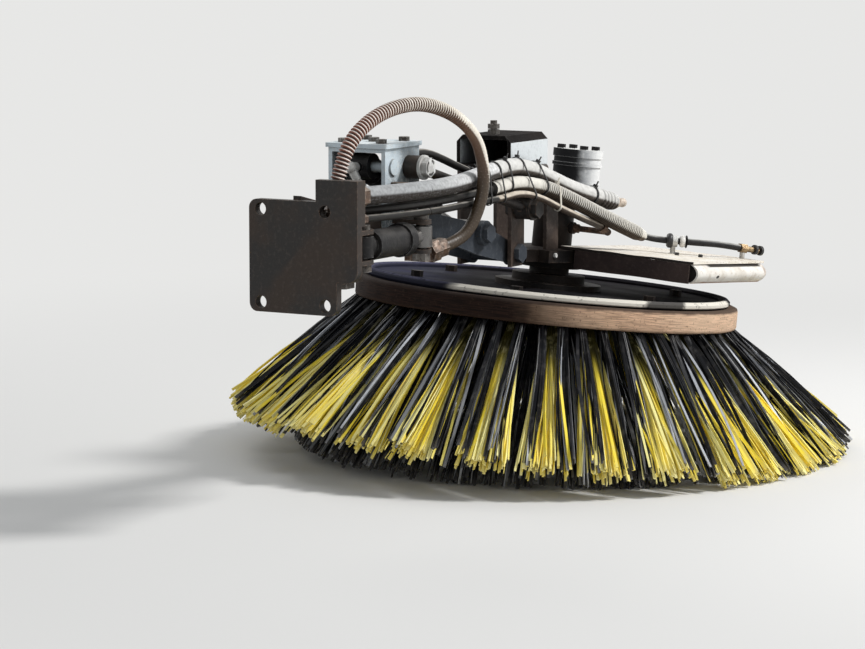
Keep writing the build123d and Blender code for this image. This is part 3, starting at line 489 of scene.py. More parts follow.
class SideBrushSizes(bpy.types.PropertyGroup):
    strand_width: metres("Strand width", "Width of one flat bristle", 0.0040)
    strand_thickness: metres("Strand thickness", "Thickness of one flat bristle", 0.0013)
    black_strands: IntProperty(name="Black strands", description="Bristles in one black tuft", default=34, min=4)
    yellow_strands: IntProperty(name="Yellow strands", description="Bristles in one yellow tuft", default=54, min=4)
    conduit_pitch: metres("Conduit rib pitch", "Distance between two ribs of the conduit", 0.0052)
    sleeve_pitch: metres("Sleeve rib pitch", "Distance between two ribs of the water hose's sleeve", 0.0046)
    tie_width: metres("Tie width", "Width of a cable tie", 0.0032)


class SideBrushColours(bpy.types.PropertyGroup):
    bristle_black: swatch("Black bristle", "Colour of the black bristles", (0.010, 0.0105, 0.013))
    bristle_yellow: swatch("Yellow bristle", "Colour of the yellow bristles", (1.0, 0.79, 0.07))
    paint: swatch("Arm paint", "Pale paint of the knuckle", (0.66, 0.75, 0.80))
    frame_paint: swatch("Frame paint", "Dark paint of the frame", (0.020, 0.018, 0.017))
    wood: swatch("Wood", "Colour of the brush board", (0.71, 0.465, 0.31))


def sizes():
    """The scene's sizes."""
    return bpy.context.scene.side_brush_sizes


def colours():
    """The scene's colours, as plain tuples."""
    group = bpy.context.scene.side_brush_colours
    return {key: tuple(getattr(group, key)) for key in SideBrushColours.__annotations__}


# Brush

def tuft_splay(angle, root, splay, reach):
    """Splay of each tuft, raised where its tip would reach below the ground."""
    downhill = np.cos(angle - TILT_HEADING) * math.sin(TILT)
    height = DISC_TOP[2] - GROUND + BOARD_UNDER * math.cos(TILT) - root * downhill
    share = np.clip(height / (reach * np.hypot(math.cos(TILT), downhill)), -1, 1)
    least = np.arccos(share) + np.arctan2(downhill, math.cos(TILT))
    return np.maximum(math.radians(splay), np.where(share < 1, least, 0))


def strands(name, colour, per_tuft, seed):
    """Flat bristles of one colour. Each one's middle line is root + t (tip - root) + 4 t (1 - t) bow, for t from 0 to
    1; its section is a flat box turned at random about that line."""
    rng = np.random.default_rng(seed)
    table = []
    for root, splay, turned, reach, spread, bundles, _ in (row for row in TUFT_ROWS if row[6] == colour):
        steps = (np.arange(bundles) - (bundles - 1) / 2) / bundles
        angle = (np.arange(TUFTS_IN_ROW)[:, None] + turned + steps).ravel() * 2 * math.pi / TUFTS_IN_ROW
        lean = tuft_splay(angle, root, splay, reach) + rng.normal(0, 0.022, len(angle))
        same = np.ones(len(angle))
        number = np.arange(len(angle)) + 1000 * len(table)
        each = np.stack([angle, root * same, lean, reach * same, spread * same, number], -1)
        table.append(np.repeat(each, per_tuft // (2 * bundles - 1), axis=0))
    angle, root, lean, reach, spread, number = np.concatenate(table).T
    bundle = np.unique(number, return_inverse=True)[1]
    count = len(angle)

    # Root and tip in the brush's own frame; fan is each bristle's place in its tuft, round and outward
    out = np.stack([np.cos(angle), np.sin(angle), np.zeros(count)], -1)
    round_ = np.stack([-np.sin(angle), np.cos(angle), np.zeros(count)], -1)
    down = np.array([0.0, 0.0, -1.0])
    aim = out * np.sin(lean)[:, None] + down * np.cos(lean)[:, None]
    lift = np.cross(round_, aim)
    fan = np.clip(rng.normal(0, 1, (count, 2)), -2, 2)
    start = out * (root + fan[:, 1] * 0.0028)[:, None] + round_ * (fan[:, 0] * 0.003)[:, None]
    start = start + down * (-BOARD_UNDER - 0.004)
    clump = rng.normal(0, 0.006, bundle.max() + 1)[bundle]
    sideways = fan[:, 0] * spread + clump + rng.normal(0, 0.0022, count)
    grown = reach * (1 + rng.uniform(-0.035, 0.012, count))
    end = start + aim * grown[:, None] + round_ * sideways[:, None] + lift * (fan[:, 1] * 0.010)[:, None]
    bow = lift * rng.normal(-0.003, 0.004, count)[:, None] + round_ * rng.normal(0, 0.0035, count)[:, None]

    # Middle lines in place, cut off just above the ground
    start, end, bow = tilt(start), tilt(end), tilt_turn(bow)
    room = (start[:, 2] - GROUND - rng.uniform(0.0005, 0.004, count)) / (start[:, 2] - end[:, 2])
    end = start + (end - start) * np.minimum(room, 1)[:, None]
    t = np.linspace(0, 1, 7)
    middle = start[:, None] + (end - start)[:, None] * t[:, None] + bow[:, None] * (4 * t * (1 - t))[:, None]
    middle[..., 2] = np.maximum(middle[..., 2], GROUND + 0.0005)

    # Sections
    ahead = unit(end - start)
    side = unit(np.cross(ahead, rng.normal(size=(count, 3))))
    rise = np.cross(ahead, side)
    twist = rng.uniform(-0.5, 0.5, count)[:, None] * t
    wide = np.cos(twist)[..., None] * side[:, None] + np.sin(twist)[..., None] * rise[:, None]
    flat = np.cross(np.broadcast_to(ahead[:, None], wide.shape), wide)
    taper = rng.uniform(0.75, 1.2, count)[:, None, None]
    w = wide * sizes().strand_width / 2 * taper
    h = flat * sizes().strand_thickness / 2 * taper
    ring = np.stack([middle - w - h, middle + w - h, middle + w + h, middle - w + h], 2)
    index = np.arange(count * len(t) * 4).reshape(count, len(t), 4)
    near, far = index[:, :-1], index[:, 1:]
    quads = np.stack([near, np.roll(near, -1, 2), np.roll(far, -1, 2), far], -1).reshape(-1, 4)
    caps = np.concatenate([index[:, 0, ::-1], index[:, -1]])
    made = flat_piece(name, ring.reshape(-1, 3), np.concatenate([quads, caps]))
    mark(made, "along", np.broadcast_to(t[None, :, None], index.shape))
    mark(made, "shade", np.broadcast_to(rng.uniform(0, 1, count)[:, None, None], index.shape))
    return made


# Bristle looks: pale tone (fading on the yellow, painted glints on the black), root tone for painted shade, dust,
# roughness, the two limits of the pale tone and those of the painted shade at the root
BRISTLES = {
    "black": ((0.56, 0.58, 0.62), (0.004, 0.004, 0.005), (0.16, 0.15, 0.14), 0.34, (0.78, 0.98), (0.24, 0.04)),
    "yellow": ((1.0, 0.92, 0.38), (0.035, 0.030, 0.005), (0.74, 0.66, 0.34), 0.42, (0.15, 0.9), (0.50, 0.20)),
}
STRAND_SEEDS = {"black": 11, "yellow": 23}


def bristle_skin(name, base, pale, root, dust, roughness, fading_and_glint, shaded):
    """Plastic bristle: each one between base and pale by a random share, pale being fading on the yellow and painted
    glints on the black; painted shade near the root, dusty at the tip.
    """
    skin = Skin(name, Roughness=roughness, Specular_IOR_Level=0.15)
    along = skin.attribute("along")
    # Pale share: fading on the yellow, painted glints on the black
    skin.colour = skin.mix(skin.ramp(skin.attribute("shade"), *fading_and_glint), base, pale)
    # Painted shade near the root, under the board
    skin.cover(skin.ramp(along, *shaded), root)
    skin.cover(skin.patches(70.0, 4.0, 0.5, 0.68), dust, 0.25)
    skin.cover(skin.ramp(along, 0.93, 1.0), dust, 0.4)
    return skin.finish()


class SIDEBRUSH_OT_bristles(bpy.types.Operator):
    """Flat black and yellow bristles in place of the plain tufts"""

    bl_idname = "side_brush.bristles"
    bl_label = "Bristles"

    def execute(self, context):
        for colour, look in BRISTLES.items():
            piece = strands("bristles_" + colour, colour, getattr(sizes(), colour + "_strands"), STRAND_SEEDS[colour])
            piece.data.materials.append(bristle_skin(colour + "_bristle", colours()["bristle_" + colour], *look))
            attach(piece, "brush")
            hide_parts("tufts_" + colour)
        return {"FINISHED"}


def chipped_board():
    """Closed profile of (radius, height) pairs turned about the brush's axis, less a wobble that is strongest at the
    two outer corners."""
    edge, inner = BOARD_RADIUS, 0.19
    top, under = BOARD_TOP, BOARD_UNDER
    profile = np.array([
        (inner, under), (edge - 0.003, under), (edge - 0.0008, under + 0.001), (edge, under + 0.004),
        (edge, (top + under) / 2), (edge, top - 0.005), (edge - 0.0012, top - 0.0014), (edge - 0.004, top),
        (DISC_RADIUS - 0.01, top), (inner, top)])
    angle = full_turn(360)
    radius, height = (np.repeat(column[:, None], len(angle), 1) for column in profile.T)
    outer = np.clip((radius - edge + 0.006) / 0.006, 0, 1)
    where = np.stack([np.cos(angle) * 9 + 0 * radius, np.sin(angle) * 9 + 0 * radius, height * 90], -1)
    rough = wobble(where * 3.0, 1.0, 5) * 0.0009 + wobble(where, 1.0, 8) * 0.0007
    radius, height = radius - outer * np.abs(rough), height + outer * rough * 0.6
    grid = np.stack([radius * np.cos(angle), radius * np.sin(angle), height], -1)
    return surface("brush_board_wood", tilt(grid), loop=True)


def raw_wood():
    """Wood with grain lines, painted shade on the side away from the light and in a band along the top under the disc,
    and stained below.
    """
    skin = Skin("raw_wood", Specular_IOR_Level=0.12)
    wood = colours()["wood"]
    local = skin.own_frame()
    lines = skin.noise(30.0, 5.0, "UV", (1.0, 26.0, 1.0))
    line = skin.ramp(lines, 0.40, 0.60)
    figure = skin.noise(6.0, 4.0)
    skin.colour = skin.mix(line, wood, darker(wood, 0.50))
    skin.cover(skin.ramp(figure, 0.4, 0.65), (0.70, 0.51, 0.36), 0.5)
    # Painted shade on the side away from the light
    place = skin.plus(skin.facing((0.60, -0.80, 0.0), local), skin.times(skin.noise(9.0, 4.0), 0.16))
    skin.cover(skin.ramp(place, 0.15, -0.03), skin.mix(line, (0.026, 0.013, 0.009), (0.009, 0.005, 0.004)))
    skin.cover(skin.patches(300.0, 2.0, 0.6, 0.72), (0.05, 0.03, 0.02), 0.6)
    # Painted shade in a dark band along the top, under the disc
    level = skin.plus(skin.parts(local)[2], skin.times(skin.noise(40.0, 3.0), 0.004))
    skin.cover(skin.ramp(level, BOARD_TOP - 0.004, BOARD_TOP + 0.0005, 0.0, 0.9), (0.03, 0.02, 0.016))
    skin.cover(skin.ramp(level, BOARD_UNDER + 0.008, BOARD_UNDER), (0.07, 0.04, 0.025), 0.6)
    skin.bump(lines, 0.0007)
    return skin.finish(skin.ramp(figure, 0.3, 0.7, 0.7, 0.9))


class SIDEBRUSH_OT_board(bpy.types.Operator):
    """Wood board with rounded, chipped edges"""

    bl_idname = "side_brush.board"
    bl_label = "Board"

    def execute(self, context):
        piece = chipped_board()
        piece.data.materials.append(raw_wood())
        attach(piece, "brush")
        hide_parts("brush_board")
        return {"FINISHED"}


# Hoses

# Rubbers: name, base, pale tone for dust and painted light, roughness, share of that tone, grain, the two slopes of
# the painted light, patches, blotches, pale tone onward
RUBBERS = {
    "grey": ("mottled_grey_sheath", (0.022, 0.016, 0.013), (0.40, 0.41, 0.415), 0.6, 0.97, 1.0, 0.30, 0.58, 0.35,
             150.0, (0.74, 0.74, 0.73)),
    "pale": ("pale_grey_sheath", (0.050, 0.036, 0.027), (0.68, 0.67, 0.64), 0.6, 0.97, 0.6, 0.02, 0.32, 0.18, 90.0),
    "dark": ("smooth_black_hose", (0.007, 0.0065, 0.0065), (0.46, 0.43, 0.38), 0.38, 0.8, 0.1, 0.86, 1.0),
    "cream": ("cream_ribbed_sleeve", (0.070, 0.048, 0.032), (0.76, 0.73, 0.66), 0.62, 0.97, 0.3, -0.24, 0.12, 0.15),
    "tan": ("brown_hose", (0.040, 0.027, 0.020), (0.66, 0.58, 0.48), 0.45, 0.9, 0.3, 0.30, 0.62, 0.3),
    "spray": ("spray_rubber", (0.014, 0.013, 0.014), (0.50, 0.49, 0.46), 0.4, 0.85, 0.2, 0.55, 0.95),
}

# Where each stretch of the hoses would bend: bodies, start and end along the travel; only the stretch names are
# read here. The head comes first in its bend, because the other order goes astray by rounding when the arm is lowered
# and swung out at once.
HEAD_BEND = ("head", "upper_link", (0.620, -0.07, 0.08), (0.470, -0.07, 0.08))
STRETCHES = (
    ("root", ("chassis", "swing_arm", (0.050, -0.09, 0.08), (0.172, -0.09, 0.08))),
    ("arm", ("swing_arm", "upper_link", (0.192, -0.09, 0.08), (0.330, -0.09, 0.08))),
    ("head", HEAD_BEND),
)
CONDUIT_STRETCHES = (
    ("conduit_rise", "conduit_root", ("chassis", "swing_arm", (0.045, -0.06, 0.15), (0.155, -0.06, 0.15))),
    ("conduit_over", "conduit_loop", ("swing_arm", "upper_link", (0.170, -0.09, 0.15), (0.318, -0.09, 0.15))),
    ("conduit_end", "conduit_tail", ("swing_arm", "upper_link", (0.32, -0.10, 0.004), (0.32, -0.10, 0.084))),
)


def bend(piece):
    """Bakes a piece's transform into its mesh."""
    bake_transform(piece)


def smooth_end(along, radius, ends):
    """Radius at each distance along a path, drawn in a little over the length given at each end."""
    near = np.minimum(along, along[-1] - along)
    return radius * (0.9 + 0.1 * np.clip(near / ends, 0, 1))


def ribs(along, pitch):
    """Rounded ribs along a path, from 0 in the grooves to 1 on the crests."""
    return np.clip(0.5 + 0.85 * np.cos(2 * math.pi * along / pitch), 0, 1)


def span(name, points, radius, rows, material, node, sides=20, across=(0, 0, 1), crest=None):
    """One stretch of a hose, between two rows of its path. crest, one per row, is 0 in a groove and 1 on a rib."""
    stretch = slice(rows[0], rows[1] + 1)
    piece = surface(name, tube_grid(points, radius, sides, across)[stretch])
    piece.data.materials.append(material)
    shown = np.ones(len(points)) if crest is None else crest
    mark(piece, "crest", np.repeat(shown[stretch], sides))
    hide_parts(node)
    return piece


def even_radius(radius):
    """A hose of one radius, without ribs."""
    return lambda points: (np.full(len(points), radius), None)


def pressure_radius(points):
    """Plain to the cuff at the head, where the radius swells in rings."""
    sheath, cuff_length, ring_pitch, ring_height = 0.0123, 0.046, 0.0090, 0.0018
    along = distance_along(points)
    left = along[-1] - along
    cuff = np.clip((cuff_length - left) / 0.004, 0, 1)
    ring = ribs(left, ring_pitch)
    swell = cuff * (ring_height * ring - 0.0004)
    return smooth_end(along, sheath, 0.006) + swell, 1 - cuff * 0.42 * (1 - ring)


def water_radius(points):
    """Plain to the tie, then a sleeve whose ribs grow towards the head and end before a smooth, narrower collar."""
    bare, wall, rib_height, sleeve_from, ribs_from = 0.006, 0.0043, 0.0022, 0.400, 0.53
    along = distance_along(points)
    left = along[-1] - along
    sleeve = np.clip((points[:, 0] - sleeve_from) / 0.004, 0, 1)
    strong = 0.10 + 0.90 * np.clip((points[:, 0] - ribs_from) / 0.04, 0, 1)
    strong = sleeve * strong * np.clip((left - 0.014) / 0.003, 0, 1)
    base = bare + sleeve * wall - 0.0012 * np.clip((0.013 - left) / 0.003, 0, 1)
    rib = ribs(along, sizes().sleeve_pitch)
    return smooth_end(along, 1.0, 0.004) * (base + strong * (rib - 0.5) * rib_height), 1 - strong * (1 - rib)


class SIDEBRUSH_OT_hoses(bpy.types.Operator):
    """Pressure, water and drain hoses and the thin line"""

    bl_idname = "side_brush.hoses"
    bl_label = "Hoses"

    def execute(self, context):
        rubber = {key: hose_dust_and_painted_light(*RUBBERS[key]) for key in ("grey", "pale", "dark", "cream", "tan")}
        fine = sizes().sleeve_pitch / 8
        for name, route, shape, looks, cuts, spacing, sides in (
                ("pressure_hose", PRESSURE_ROUTE, pressure_radius, ("grey", "grey", "pale"), (2, 5), 0.0015, 28),
                ("water_hose", WATER_ROUTE, water_radius, ("dark", "dark", "cream"), (2, 5), fine, 24),
                ("drain_hose", DRAIN_ROUTE, even_radius(0.005), ("dark", "dark", "tan"), (2, 5), 0.003, 20),
                ("thin_line", THIN_ROUTE, even_radius(0.0055), ("dark", "dark"), (5,), 0.003, 20)):
            points = spline_points(name, route, spacing)
            radius, crest = shape(points)
            rows = parting_rows(points, route, cuts)
            for k, (look, (part, how)) in enumerate(zip(looks, STRETCHES[-len(looks):])):
                piece = span(name + "_" + part, points, radius, rows[k:k + 2], rubber[look], "hoses_" + part,
                             sides, crest=crest)
                bend(piece)
        lift = spline_points("lift_hose", LIFT_ROUTE, 0.002)
        radius = smooth_end(distance_along(lift), 0.005, 0.004)
        rows = (0, len(lift) - 1)
        piece = span("lift_hose_tube", lift, radius, rows, rubber["cream"], "lift_hose", 20, (0, 1, 0))
        bend(piece)
        return {"FINISHED"}


def conduit_plastic():
    """Brown plastic, reddish at its start and olive at its end, with painted light on the side and the rib crests that
    face the light, and painted shade in its grooves.
    """
    skin = Skin("brown_conduit_plastic")
    way = skin.attribute("way")
    crest = skin.attribute("crest")
    # Share of the normal towards the light, which places painted light and shade
    kerb = skin.facing((0.45, -0.70, 0.55))
    cloud = skin.noise(45.0, 5.0, "UV")
    skin.colour = skin.mix(skin.ramp(way, 0.12, 0.36), (0.22, 0.058, 0.026), (0.125, 0.062, 0.034))
    skin.cover(skin.ramp(way, 0.62, 0.80), (0.040, 0.024, 0.011))
    pale = skin.mix(skin.ramp(way, 0.10, 0.5), (0.86, 0.74, 0.67), (0.84, 0.78, 0.68))
    width = skin.ramp(way, 0.68, 0.78, 0.0, 0.56)
    # Painted light on the side that faces the light
    side = skin.ramp(skin.math("SUBTRACT", kerb, width), 0.12, 0.42)
    skin.cover(skin.times(side, skin.ramp(cloud, 0.30, 0.50, 0.70, 1.0)), pale, 0.95)
    # Painted highlights on the rib crests that face the light
    top = skin.times(skin.ramp(crest, 0.7, 1.0), skin.ramp(way, 0.55, 0.40), skin.ramp(kerb, -0.45, 0.10))
    skin.cover(top, pale, 0.90)
    # Painted shade in the grooves
    skin.cover(skin.ramp(crest, 0.10, 0.60, 0.97, 0.0), (0.018, 0.009, 0.006))
    grain = skin.noise(380.0, 3.0, "UV")
    skin.cover(skin.ramp(grain, 0.55, 0.72), (0.34, 0.27, 0.20), 0.3)
    skin.bump(grain, 0.0002)
    return skin.finish(skin.ramp(cloud, 0.3, 0.7, 0.38, 0.6))


class SIDEBRUSH_OT_conduit(bpy.types.Operator):
    """Ribbed conduit that loops over the arm"""

    bl_idname = "side_brush.conduit"
    bl_label = "Conduit"

    def execute(self, context):
        pitch = sizes().conduit_pitch
        middle_radius, rib_height, sides = 0.0086, 0.0028, 24
        points = spline_points("conduit", CONDUIT_ROUTE, pitch / 8)
        along = distance_along(points)
        share = along / along[-1]
        ribbed = 1 - 0.97 * np.clip((share - 0.50) / 0.12, 0, 1)
        rib = ribs(along, pitch)
        radius = middle_radius + ribbed * (rib - 0.5) * rib_height
        crest = 1 - ribbed * (1 - rib)
        marks = parting_rows(points, CONDUIT_ROUTE, (4, 9))
        plastic = conduit_plastic()
        for k, (name, node, how) in enumerate(CONDUIT_STRETCHES):
            rows = marks[k:k + 2]
            piece = span(name, points, radius, rows, plastic, node, sides, (0, 1, 0), crest)
            mark(piece, "way", np.repeat(share[rows[0]:rows[1] + 1], sides))
            bend(piece)
        return {"FINISHED"}


class SIDEBRUSH_OT_spray_line(bpy.types.Operator):
    """Thin spray hose with its disc and ring"""

    bl_idname = "side_brush.spray_line"
    bl_label = "Spray line"

    def execute(self, context):
        points = spline_points("spray_line", SPRAY_ROUTE, 0.0015)
        radius = smooth_end(distance_along(points), 0.005, 0.003)
        rubber = hose_dust_and_painted_light(*RUBBERS["spray"])
        piece = span("spray_tube", points, radius, (0, len(points) - 1), rubber, "spray_hose")
        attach(piece, "head")
        ahead = unit(np.gradient(points, axis=0))
        for name, share, thick, radius, material in (
                ("spray_flange", 0.285, 0.009, 0.0112, plain("black_gland", (0.02, 0.019, 0.02), 0.4)),
                ("spray_ring", 0.405, 0.008, 0.0090, plain("white_ring", (0.76, 0.74, 0.70), 0.5)),
                ("spray_clip", 0.437, 0.0022, 0.0098, rubber)):
            row = int(len(points) * share)
            centre = points[row] + ahead[row] * np.linspace(-1, 1, 6)[:, None] * thick / 2
            ring = surface(name, tube_grid(centre, radius * np.array([0.8, 0.95, 1, 1, 0.95, 0.8]), 28))
            ring.data.materials.append(material)
            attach(ring, "head")
        return {"FINISHED"}


# Small fasteners on the head: name, whether places and direction are in the brush's own frame, places, direction,
# width over the flats, height, sides, material
FASTENERS = (
    ("guard_bolt_heads", True, ((0.0835, -0.1698, 0.0655), (0.1072, -0.1980, 0.0655)), (0, 0, 1), 0.0068, 0.0044, 6,
     "black"),
    ("cheek_foot_bolt", False, ((0.6300, -0.0572, -0.0525),), (0, -1, 0), 0.0074, 0.0036, 20, "white"),
    ("nozzle_collars", False, ((0.9395, -0.2385, -0.0622), (0.9495, -0.2428, -0.0644)), (0.89, -0.41, -0.18), 0.0150,
     0.0052, 14, "black"),
)

# Weld beads: name, body, the two ends of the bead
WELDS = (
    ("box_seam_weld", "head", ((0.523, -0.0455, 0.0808), (0.624, -0.0455, 0.0808))),
    ("upper_lug_weld", "swing_arm", ((0.184, -0.0455, 0.0385), (0.208, -0.0455, 0.0385))),
    ("lower_lug_weld", "swing_arm", ((0.184, -0.0455, -0.0085), (0.208, -0.0455, -0.0085))),
)


class SIDEBRUSH_OT_fasteners(bpy.types.Operator):
    """Small bolt heads, collars and weld beads"""

    bl_idname = "side_brush.fasteners"
    bl_label = "Fasteners and welds"

    def execute(self, context):
        looks = {
            "black": plain("black_bolt", (0.020, 0.019, 0.018), 0.5),
            "white": plain("white_bolt", (0.72, 0.71, 0.68), 0.5),
        }
        for name, tilted, places, way, flats, height, sides, look in FASTENERS:
            ahead = unit(tilt_turn(way) if tilted else np.array(way, float))
            for number, place in enumerate(places):
                centre = tilt(place) if tilted else np.array(place)
                axis = centre + ahead * (np.array([-0.001, 0.0, 0.82, 1.0]) * height)[:, None]
                grid = tube_grid(axis, flats / 2 * np.array([1, 1, 1, 0.84]), sides, (1, 0.3, 0.2))
                piece = surface(name if not number else "%s_%d" % (name, number + 1), grid, smooth=False)
                piece.data.materials.append(looks[look])
                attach(piece, "head")
        bead = plain("weld_bead", (0.070, 0.060, 0.054), 0.55)
        for name, body, ends in WELDS:
            start, end = np.array(ends)
            count = int(np.linalg.norm(end - start) / 0.0009)
            path = start + (end - start) * np.linspace(0, 1, count)[:, None]
            swell = 0.0022 + 0.0005 * np.abs(np.sin(np.arange(count) * 0.9)) + 0.0003 * wobble(path * 300, 1.0, 9)
            piece = surface(name, tube_grid(path, swell, 10))
            piece.data.materials.append(bead)
            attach(piece, body)
        return {"FINISHED"}


# Cable ties: place on the pressure hose, which hoses they hold, and the turn of the head. The first is the frame's
# own tie band, which also holds the upper link's hook.
TIES = (
    (0.4135, ("pressure", "water", "drain", "thin"), 2.2),
    (0.372, ("pressure", "water", "drain"), 2.6),
    (0.448, ("pressure", "water"), 1.2),
    (0.500, ("pressure", "water", "drain"), 1.5),
    (0.556, ("pressure", "water"), 1.1),
    (0.580, ("water", "drain"), 1.4),
    (0.697, ("pressure",), 1.2),
)
TIE_HOSES = {
    "pressure": (PRESSURE_ROUTE, 0.0127),
    "water": (WATER_ROUTE, 0.0108),
    "drain": (DRAIN_ROUTE, 0.0052),
    "thin": (THIN_ROUTE, 0.0057),
}
BAND_HOOK = (np.array([TIES[0][0], -0.0563, 0.0572]), 0.0072)
STRAP = 0.0011

BLOCK_CORNERS = np.array([[x, y, z] for z in (-1, 1) for y in (-1, 1) for x in (-1, 1)]) / 2
BLOCK_FACES = np.array([[0, 2, 3, 1], [4, 5, 7, 6], [0, 1, 5, 4], [2, 6, 7, 3], [0, 4, 6, 2], [1, 3, 7, 5]])


def tie(name, centre, axes, centres, reach, turn):
    """Strap round several hoses. At each angle a, the strap's inner point is the hose centre c + r n(a) for which
    c.n(a) + r is largest, so its line is the hull of the circles. A block and a tail make its head."""
    ahead, side, rise = axes
    angle = np.linspace(0, 2 * math.pi, 97)[:-1]
    normal = np.stack([np.cos(angle), np.sin(angle)], -1)
    best = (normal @ centres.T + reach).argmax(1)
    inner = centres[best] + reach[best, None] * normal
    rows = []
    for out, shift in ((0.0, -0.5), (STRAP, -0.5), (STRAP, 0.5), (0.0, 0.5)):
        flat = inner + normal * out
        rows.append(centre + flat[:, :1] * side + flat[:, 1:] * rise + ahead * shift * sizes().tie_width)
    index = np.arange(4 * len(angle)).reshape(4, -1)
    after = np.roll(index, -1, 1)
    faces = np.stack([index, after, np.roll(after, -1, 0), np.roll(index, -1, 0)], -1).reshape(-1, 4)
    vertices = np.concatenate(rows)
    if inside_out(vertices, [faces]):
        faces = faces[:, ::-1]
    k = int(np.argmin(np.abs(angle - turn % (2 * math.pi))))
    out = normal[k, 0] * side + normal[k, 1] * rise
    around = np.cross(ahead, out)
    foot = centre + inner[k, 0] * side + inner[k, 1] * rise
    for middle, size in ((foot + out * 0.0022, (0.0052, 0.0044, 0.0054)),
                         (foot + out * 0.0060 + around * 0.001, (0.0024, 0.009, 0.0011))):
        faces = np.concatenate([faces, BLOCK_FACES + len(vertices)])
        block = middle + (BLOCK_CORNERS * np.asarray(size)) @ np.stack([ahead, out, around])
        vertices = np.concatenate([vertices, block])
    return mesh_object(name, vertices, [faces], smooth=False)


class SIDEBRUSH_OT_cable_ties(bpy.types.Operator):
    """Thin black ties that bundle the hoses"""

    bl_idname = "side_brush.cable_ties"
    bl_label = "Cable ties"

    def execute(self, context):
        paths = {key: spline_points(key, route, 0.001) for key, (route, _) in TIE_HOSES.items()}
        black = plain("tie_nylon", (0.012, 0.012, 0.013), 0.4)
        milky = plain("milky_nylon", (0.62, 0.58, 0.50), 0.4)
        for number, (x, held, turn) in enumerate(TIES):
            lead = paths[held[0]]
            row = int(np.argmin(np.abs(lead[:, 0] - x)))
            ahead = unit(lead[row + 2] - lead[row - 2])
            side = unit(np.cross(ahead, (0, 0, 1)))
            rise = np.cross(side, ahead)
            circles = []
            for key in held:
                near = int(np.argmin(np.abs((paths[key] - lead[row]) @ ahead)))
                circles.append((paths[key][near], TIE_HOSES[key][1]))
            if number == 0:
                circles.append(BAND_HOOK)
            centres = np.array([((place - lead[row]) @ side, (place - lead[row]) @ rise) for place, _ in circles])
            reach = np.array([radius for _, radius in circles]) + 0.0004
            piece = tie("cable_tie_%d" % (number + 1), lead[row], (ahead, side, rise), centres, reach, turn)
            piece.data.materials.append(milky if held == ("water", "drain") else black)
            if number == 0:
                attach(piece, "upper_link")
                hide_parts("hose_tie_band")
            else:
                bend(piece)
        return {"FINISHED"}


# Guard, in the brush's own frame

GUARD_REAR = -0.037
GUARD_FRONT = 0.228
GUARD_OUTER = -0.255
GUARD_INNER = -0.034
GUARD_TOP = 0.0653
GUARD_DEPTH = 0.032


def slab(name, upper, step):
    """Closed sheet between a grid and the same grid moved by a step: the first one's faces, the second one's turned
    over, and a rim of quads."""
    rows, columns = upper.shape[:2]
    count = rows * columns
    index = np.arange(count).reshape(rows, columns)
    quads = np.stack([index[:-1, :-1], index[:-1, 1:], index[1:, 1:], index[1:, :-1]], -1).reshape(-1, 4)
    edge = np.concatenate([index[0, :-1], index[:-1, -1], index[-1, :0:-1], index[:0:-1, 0]])
    after = np.roll(edge, -1)
    rim = np.stack([edge, edge + count, after + count, after], -1)
    vertices = np.concatenate([tilt(upper).reshape(-1, 3), tilt(upper + np.array(step)).reshape(-1, 3)])
    return flat_piece(name, vertices, np.concatenate([quads, quads[:, ::-1] + count, rim]))


def guard_top():
    """Height over the sheet is a slow wobble, with the outer corner rounded off by pulling each row's end in."""
    y = np.linspace(GUARD_INNER, GUARD_OUTER + 0.001, 48)
    s = np.linspace(0, 1, 64)
    corner = 0.016
    near = np.clip((corner - (y - GUARD_OUTER)) / corner, 0, 1)
    pull = corner * (1 - np.sqrt(1 - np.minimum(near, 1) ** 2))
    x0 = GUARD_REAR + 0 * pull
    x1 = GUARD_FRONT - pull
    x = x0[:, None] + (x1 - x0)[:, None] * s
    yy = np.broadcast_to(y[:, None], x.shape)
    dent = wobble(np.stack([x, yy], -1) * 26, 1.0, 3) * 0.0011 * np.clip((-0.06 - yy) / 0.04, 0, 1)
    return slab("guard_top", np.stack([x, yy, GUARD_TOP + dent], -1), (0, 0, -0.0035))


def guard_flange():
    """Rear flange: a flat sheet hung from the top's rear edge, its lower edge slightly bowed."""
    y = np.linspace(-0.0595, GUARD_OUTER + 0.0065, 40)
    drop = np.linspace(0.0036, 1.0, 8)
    hang = GUARD_DEPTH + wobble(y[:, None] * 30, 1.0, 4) * 0.0012
    z = GUARD_TOP - 0.0037 - (hang[:, None] - 0.0037) * drop
    outer = np.stack([GUARD_REAR + 0.0004 + 0 * z, np.broadcast_to(y[:, None], z.shape), z], -1)
    return slab("guard_flange", outer, (0.004, 0, 0))


def guard_roll_end():
    """Dark plate that stands for the shade inside the skirt's roll: it closes the roll a little inside its rear end,
    between the flange's edge and the bulge.
    """
    share = np.linspace(0.02, 0.98, 12)
    bulge = 0.0085 * np.sin(math.pi * share) ** 0.8 - 0.0045
    z = GUARD_TOP - 0.0046 - (GUARD_DEPTH - 0.0046) * share
    y = np.stack([np.full(len(share), GUARD_OUTER + 0.012), GUARD_OUTER - bulge])
    plate = np.stack([np.full(y.shape, GUARD_REAR + 0.0125), y, np.broadcast_to(z, y.shape)], -1)
    return slab("guard_roll_end", plate, (0.003, 0, 0))


